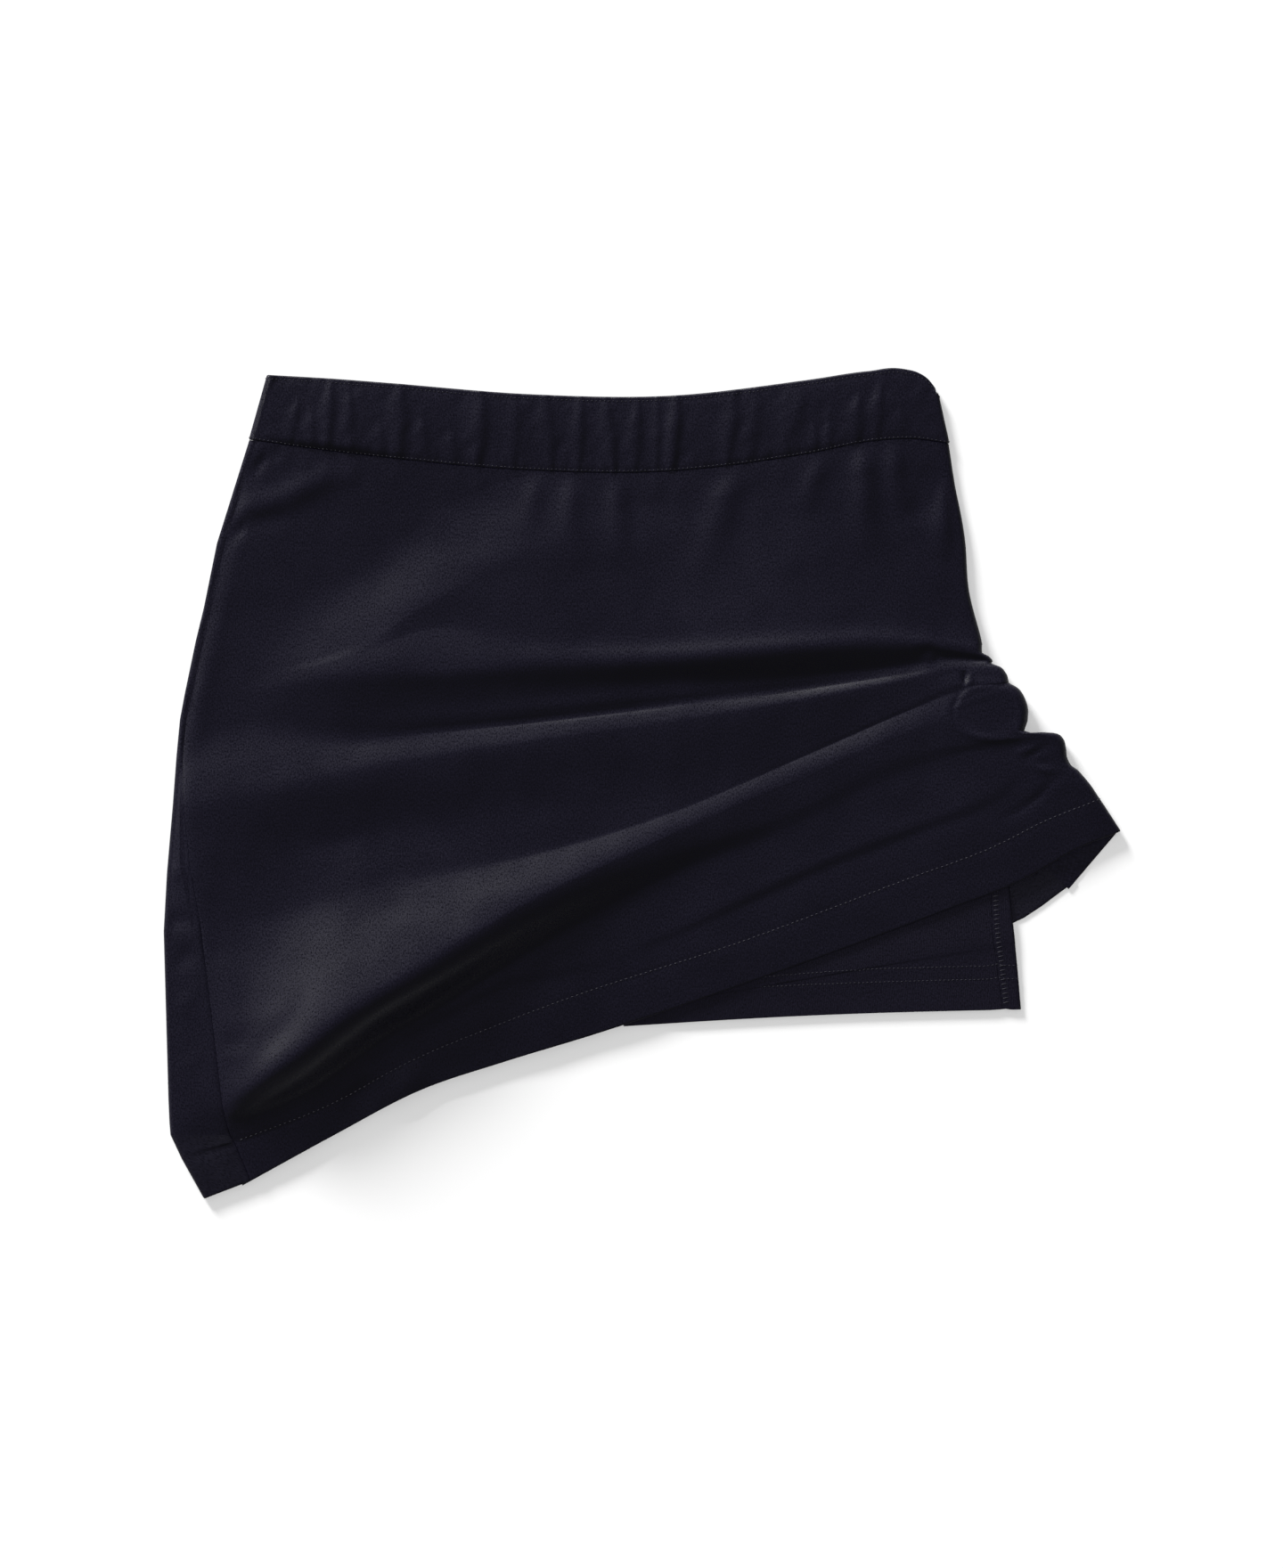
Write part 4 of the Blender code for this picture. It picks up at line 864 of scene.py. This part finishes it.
def rim_halves(v, rim_start):
    """Half walls down the skirt: full, then rounding in over the rows at the folded hem."""
    last = len(FRONT_LINES) - 1
    t = np.clip((v - (last - rim_start)) / rim_start, 0, 1)
    return 0.5 * WALL * np.sqrt(np.maximum(1 - t**2, 0.05))


def seam_allowances(front, normal, half, room):
    """The front with its allowances: thin flaps that lie inside, behind the three seams.

    At the waist the flap drops and runs up between the waistband's layers. At each side seam it
    steps in by the wall and runs on over the seam, on the left no further than the room there.
    """
    rows, columns = front.shape[:2]
    half = np.repeat(half[:, None], columns, axis=1)

    ends = []
    for column, towards, reach in ((0, 1, np.minimum(room, 6.0)), (-1, -2, np.full(rows, 6.0))):
        ahead = unit(front[:, column] - front[:, towards])
        inside = -normal[:, column]
        points = [front[:, column] + ahead * (reach * share)[:, None] + inside * 0.66
                  for share in (0.01, 0.5, 1.0)]
        ends.append((points, [normal[:, column]] * 3, np.full((rows, 3), 0.1)))
    left, right = ends
    front = np.concatenate([np.stack(left[0][::-1], axis=1), front, np.stack(right[0], axis=1)], axis=1)
    normal = np.concatenate([np.stack(left[1], axis=1), normal, np.stack(right[1], axis=1)], axis=1)
    half = np.concatenate([left[2], half, right[2]], axis=1)

    top = front[0]
    height = np.clip((top[:, 2] - TABLE_LAYER - 1.0) / 2.4, 0, 1)
    upward = unit((front[0] - front[3]) * (1, 1, 0))
    added = []
    for run, drop in ((1.6, 1.70), (0.45, 1.62), (0.14, 0.95)):
        row = top + upward * (run * height)[:, None]
        row[:, 2] -= drop * height
        added.append(row)
    front = np.concatenate([np.stack(added), front])
    normal = np.concatenate([np.repeat(normal[:1], 3, axis=0), normal])
    thin = np.stack([np.minimum(half[0], limit) for limit in (0.12, 0.14, 0.3)])
    return front, normal, np.concatenate([thin, half])


def make_skirt(cloth, thread):
    """Front and back panel, cut from one closed tube at the two side seams, and their hem rows."""
    rim = (0.045, 0.03, 0.018, 0.008, 0.0)
    across, flat = 220, 44
    v = skirt_rows(spacing=2.7, rim=rim)
    tube, right_seam = skirt_tube(v, across, turn=9, under=8, flat=flat, strip=16)
    normal = normals_of(tube, closed=True)
    half = rim_halves(v, rim[0])
    front = tube[:, :right_seam + 1].copy()
    step_back(front, 0, 1, SEAM_GAP / 2)
    step_back(front, -1, -2, SEAM_GAP / 2)
    front_normal = normal[:, :right_seam + 1]
    room = 0.5 * np.linalg.norm(at_rows(LEFT_FOLD, v) - front[:, 0, :2], axis=1)
    panel, panel_normal, panel_half = seam_allowances(front, front_normal, half, room)
    front_piece = cloth_wall("skirt_front_cloth", panel, panel_normal, panel_half, cloth,
                             uv=plan_uv(panel, 1.0, across + 2))
    back = np.concatenate([tube[:, right_seam:], tube[:, :1]], axis=1)
    step_back(back, 0, 1, SEAM_GAP / 2)
    step_back(back, -1, -2, SEAM_GAP / 2)
    back_normal = np.concatenate([normal[:, right_seam:], normal[:, :1]], axis=1)
    back_piece = cloth_wall("skirt_back_cloth", back, back_normal, half, cloth,
                            uv=plan_uv(back, -1.0, flat))

    hem_row = int(np.argmin(np.abs(v - LINE["stitch"])))
    on_top = front[hem_row] + front_normal[hem_row] * half[hem_row]
    front_hem = stitch_mesh("front_hem_stitches", [(on_top[2:-2], front_normal[hem_row, 2:-2])], thread)
    outer = back[hem_row] + back_normal[hem_row] * (half[hem_row] - 0.45)
    back_hem = stitch_mesh("back_hem_stitches", [(outer[2:-2], back_normal[hem_row, 2:-2])], thread)

    finish_piece(front_piece, ["skirt_front"])
    finish_piece(back_piece, ["skirt_back"])
    finish_piece(front_hem, [])
    finish_piece(back_hem, [])


def band_height(x, height):
    """Height of the waistband's front over its edge, from place x and share of the way up.

    It rolls down towards the upper edge, stands proud above the seam at the left end, and carries
    one lens-shaped ridge per row of BAND_GATHERS, broad on its left flank and steep on its right.
    """
    upper = np.clip((height - 0.40) / 0.60, 0, 1)
    z = -1.05 * upper**2
    proud = 1 - smooth_step((x + 165) / 45)
    proud = 1.7 * proud * smooth_step((x + 219) / 36) + 0.35 * np.exp(-((x - 75) / 45)**2)
    z = z + proud * smooth_step(height / 0.09) * (1 - 0.93 * np.clip((height - 0.09) / 0.91, 0, 1))
    bulge = 1.5 * (0.35 + 0.65 * np.sin(np.pi * (0.1 + 0.75 * height)))
    for x_low, x_high, width, rise, reach in BAND_GATHERS:
        away = x - (x_low + (x_high - x_low) * height)
        lens = width * (0.4 + 0.6 * np.sin(np.pi * np.clip(height / reach, 0, 1)))
        away = away / (lens * np.where(away < 0, 1.3, 0.85))
        fade = 1 - smooth_step((height - reach + 0.15) / 0.3) if reach < 1 else 1 - 0.5 * height**4
        z = z + rise * np.exp(-away**2) * fade * bulge
    return z


def make_waistband(cloth, thread):
    """Closed ring between the two edges: gathered front, half turn, flat back, half turn."""
    u = np.linspace(0, 1, 400)
    lower, upper = np.array(BAND_LOWER), np.array(BAND_UPPER)
    height = np.concatenate([[0.0, 0.006, 0.016, 0.03], np.linspace(0.05, 0.94, 19),
                             [0.965, 0.982, 0.992, 1.0]])
    low_edge = spline(lower[:, 0], lower[:, 1:], u)
    top_edge = spline(upper[:, 0], upper[:, 1:], u)
    plan = low_edge[None] * (1 - height)[:, None, None] + top_edge[None] * height[:, None, None]
    z_front, z_back = np.full(len(height), BAND_FRONT), np.full(len(height), BAND_BACK)
    radius = 0.5 * (z_front - z_back)
    right, left = plan[:, -1].copy(), plan[:, 0].copy()
    out_right, out_left = unit(right - plan[:, -2]), unit(left - plan[:, 1])
    plan -= out_right[:, None] * radius[:, None, None] * smooth_step((u - 0.985) / 0.015)[None, :, None]
    plan -= out_left[:, None] * radius[:, None, None] * smooth_step((0.015 - u) / 0.015)[None, :, None]
    x, y, h = plan[..., 0], plan[..., 1], height[:, None]
    swell = band_height(x, h) + 0.06 * undulation(x, y, 30, 11) + 0.08 * undulation(x, y, 9, 14)
    # pucker at both edges, and sunken lines where the two rows of stitches run
    from_low, from_top = h * BAND_DEEP, (1 - h) * BAND_DEEP
    swell = swell + 0.12 * undulation(x, y * 0.3, 5.0, 12) * np.exp(-from_low / 6.0)
    swell = swell + 0.06 * undulation(x, y * 0.5, 5.0, 13) * np.exp(-from_top / 4.0)
    swell = swell - 0.22 * np.exp(-(from_top - 2.2)**2 / 0.8)
    swell = swell - 0.25 * np.exp(-(from_low - 1.2)**2 / 0.8)
    ends = smooth_step(u / 0.02) * smooth_step((1 - u) / 0.02)
    front = np.dstack([plan, BAND_FRONT + swell * ends[None]])
    back_plan = plan[:, ::-1][:, ::3]
    back_plan = np.concatenate([back_plan, plan[:, :1]], axis=1)
    back = np.dstack([back_plan, np.full(back_plan.shape[:2], BAND_BACK)])
    ring = np.concatenate([front, half_turn(right, out_right, radius, z_front, z_back, 8), back,
                           half_turn(left, out_left, radius, z_back, z_front, 8)], axis=1)
    normal = normals_of(ring, closed=True)
    edge = np.minimum(height, 1 - height) * BAND_DEEP
    rounded = np.where(height > 0.5, 1.2, 0.6)
    t = np.clip(1 - edge / rounded, 0, 1)
    half = BAND_HALF * np.sqrt(np.maximum(1 - t**2, np.where(height > 0.5, 0.04, 0.35)))
    lengths = lengths_along(ring, 1).mean(axis=0)
    uv = np.dstack([np.broadcast_to(lengths, ring.shape[:2]), lengths_along(ring, 0)])
    band = cloth_wall("waistband_cloth", ring, normal, half, cloth, closed=True, uv=uv)

    def band_row(distance):
        """Path and normals of a stitch row, at a distance from the lower edge, or minus the upper."""
        share = distance / BAND_DEEP if distance > 0 else 1 + distance / BAND_DEEP
        row = int(np.argmin(np.abs(height - share)))
        return ring[row] + normal[row] * half[row], normal[row]

    stitches = stitch_mesh("waistband_stitches",
                           [band_row(1.3), band_row(-2.2)], thread, pitch=2.4, length=1.3, lift=0.2)
    finish_piece(band, ["waistband"])
    finish_piece(stitches, [])


def make_leg(table, side, cloth, thread):
    """One leg: front and back layer, the back one turned over the outer edge to the side seam."""
    places = np.arange(len(table), dtype=float)
    rows = np.linspace(0, len(table) - 1, 90 if len(table) > 5 else 60)
    columns = np.array([(*row[1], *row[2], row[3], row[4]) for row in table], float)
    at = spline(places, columns, rows)
    inner, fold, wrap, drop = at[:, :2], at[:, 2:4], at[:, 4], np.clip(at[:, 5], 0.0, 1.3)
    z_front, z_back = SHORTS_FRONT - drop, SHORTS_BACK - drop
    outward = unit(fold - inner)
    radius = 0.5 * (z_front - z_back)
    seam = np.column_stack([fold - outward * wrap[:, None], z_front])
    edge = fold - outward * radius[:, None]
    inner_front = np.column_stack([inner, z_front])
    inner_back = np.column_stack([inner, z_back])
    front = np.concatenate([inner_front[:, None], between(inner_front, seam, 60),
                            seam[:, None]], axis=1)
    edge_front, edge_back = np.column_stack([edge, z_front]), np.column_stack([edge, z_back])
    rest = np.concatenate([between(seam, edge_front, 6), edge_front[:, None],
                           half_turn(fold, outward, radius, z_front, z_back, 6), edge_back[:, None],
                           between(edge_back, inner_back, 30), inner_back[:, None]], axis=1)
    whole = np.concatenate([front, rest], axis=1)
    away = np.hypot(whole[..., 0] - whole[:, :1, 0], whole[..., 1] - whole[:, :1, 1])
    share = away / np.maximum(np.linalg.norm(fold - inner, axis=1), 1)[:, None]
    # the hem bows down a little in its middle, and the right one is nicked at the side seam
    low = smooth_step((rows - rows[-1] + 1.5) / 1.5)[:, None]
    notch = np.exp(-((whole[..., 0] - seam[:, :1]) / 3.0)**2) if side == "right" else 0.0
    whole[..., 1] += low * (1.6 * np.sin(np.pi * np.clip(share, 0, 1)) + 0.9 * notch)
    whole[0, :, 1] = band_edge_at(whole[0, :, 0]) - WAIST_SET_IN
    normal = normals_of(whole, closed=False)
    count = front.shape[1]
    front_grid, back_grid = whole[:, :count].copy(), whole[:, count - 1:].copy()
    step_back(front_grid, -1, -2, SEAM_GAP / 2)
    step_back(back_grid, 0, 1, SEAM_GAP / 2)
    front_name, back_name = "shorts_%s_front_knit" % side, "shorts_%s_back_knit" % side
    front_piece = cloth_wall(front_name, front_grid, normal[:, :count], WALL / 2, cloth)
    back_piece = cloth_wall(back_name, back_grid, normal[:, count - 1:], WALL / 2, cloth)

    outside = whole + normal * WALL / 2
    up_from_edge = lengths_along(whole, 0)
    up_from_edge = (up_from_edge[-1] - up_from_edge)[::-1]
    hem_rows = []
    for distance in (17.5, 25.0):
        path = np.array([[np.interp(distance, up_from_edge[:, k], outside[::-1, k, i])
                          for i in range(3)] for k in range(whole.shape[1])])
        hem_rows.append((path, normal[-8]))
    hem = stitch_mesh("shorts_%s_hem_stitches" % side, hem_rows, thread, pitch=2.4, length=1.9,
                      radius=0.2)
    beside = whole[:, count + 1] + normal[:, count + 1] * WALL / 2
    ladder = stitch_mesh("shorts_%s_ladder_stitches" % side,
                         [(beside[4:-2], normal[4:-2, count + 1])], thread, pitch=2.6,
                         length=4.4, radius=0.28, lift=0.06, slant=12.0)
    finish_piece(front_piece, ["shorts_%s_front" % side])
    finish_piece(back_piece, ["shorts_%s_back" % side])
    finish_piece(hem, [])
    finish_piece(ladder, [])


# ---------------------------------------------------------------- stage

def add_floor():
    """Plain pale table top, a hair under the skort."""
    mesh = bpy.data.meshes.new("table_top")
    side, under = 4.0, -0.0003
    corners = [(-side, -side, under), (side, -side, under), (side, side, under),
               (-side, side, under)]
    mesh.from_pydata(corners, [], [(0, 1, 2, 3)])
    floor = bpy.data.objects.new("table_top", mesh)
    bpy.context.scene.collection.objects.link(floor)
    material = bpy.data.materials.new("pale table")
    material.use_nodes = True
    shader = material.node_tree.nodes["Principled BSDF"]
    shader.inputs["Base Color"].default_value = (0.62, 0.62, 0.62, 1.0)
    shader.inputs["Roughness"].default_value = 0.9
    shader.inputs["Specular IOR Level"].default_value = 0.0
    mesh.materials.append(material)


def add_light(name, place, size, power, shadow):
    """Round soft light that faces the middle of the table."""
    light = bpy.data.lights.new(name, "AREA")
    light.shape = "DISK"
    light.size = size
    light.energy = power
    light.use_shadow = shadow
    lamp = bpy.data.objects.new(name, light)
    lamp.location = place
    lamp.rotation_euler = Vector(place).to_track_quat("Z", "Y").to_euler()
    bpy.context.scene.collection.objects.link(lamp)


def add_stage():
    """Table, a low soft light from the upper left, pale surroundings, and the camera overhead.

    Half of the light casts no shadow: it stands for what a studio's walls send back.
    """
    add_floor()
    lamp_place, lamp_size = (-8.04, 12.88, 5.1), 5.0
    add_light("key", lamp_place, lamp_size, 5600.0, True)
    add_light("fill", lamp_place, lamp_size, 5200.0, False)
    world = bpy.data.worlds.new("studio")
    world.use_nodes = True
    world.node_tree.nodes["Background"].inputs[0].default_value = (1.0, 1.0, 1.0, 1.0)
    world.node_tree.nodes["Background"].inputs[1].default_value = 0.45
    scene = bpy.context.scene
    scene.world = world
    scene.view_settings.view_transform = "Standard"
    lens = bpy.data.cameras.new("camera")
    lens.lens = 300.0
    lens.sensor_width = 36.0
    lens.clip_end = 20.0
    camera = bpy.data.objects.new("camera", lens)
    camera.location = (-0.00042, -0.00022, 7.333)
    scene.collection.objects.link(camera)
    scene.camera = camera


weave = cloth_weave_group()
wear = cloth_wear_group()
twill_look = dict(colour=(0.0013, 0.0009, 0.0047), lines_per_cm=16.0, slant=0.7, unevenness=0.55,
                  depth=0.12, roughness=0.44, specular=0.125)
twill = cloth_material("navy twill", weave, wear, **twill_look)
band_twill = cloth_material("waistband twill", weave, wear, **twill_look)
knit = cloth_material("navy knit", weave, wear, colour=(0.0014, 0.0009, 0.0047), lines_per_cm=12.0,
                      slant=0.05, unevenness=0.45, depth=0.11, roughness=0.51, specular=0.112)
light_thread = thread_material("navy thread", (0.0062, 0.0055, 0.0106), 0.5)
dark_thread = thread_material("dark thread", (0.0024, 0.0020, 0.0056), 0.55)
knit_thread = thread_material("knit thread", (0.0034, 0.0028, 0.0072), 0.55)

make_skirt(twill, light_thread)
make_waistband(band_twill, dark_thread)
make_leg(SHORTS_RIGHT, "right", knit, knit_thread)
make_leg(SHORTS_LEFT, "left", knit, knit_thread)
add_stage()
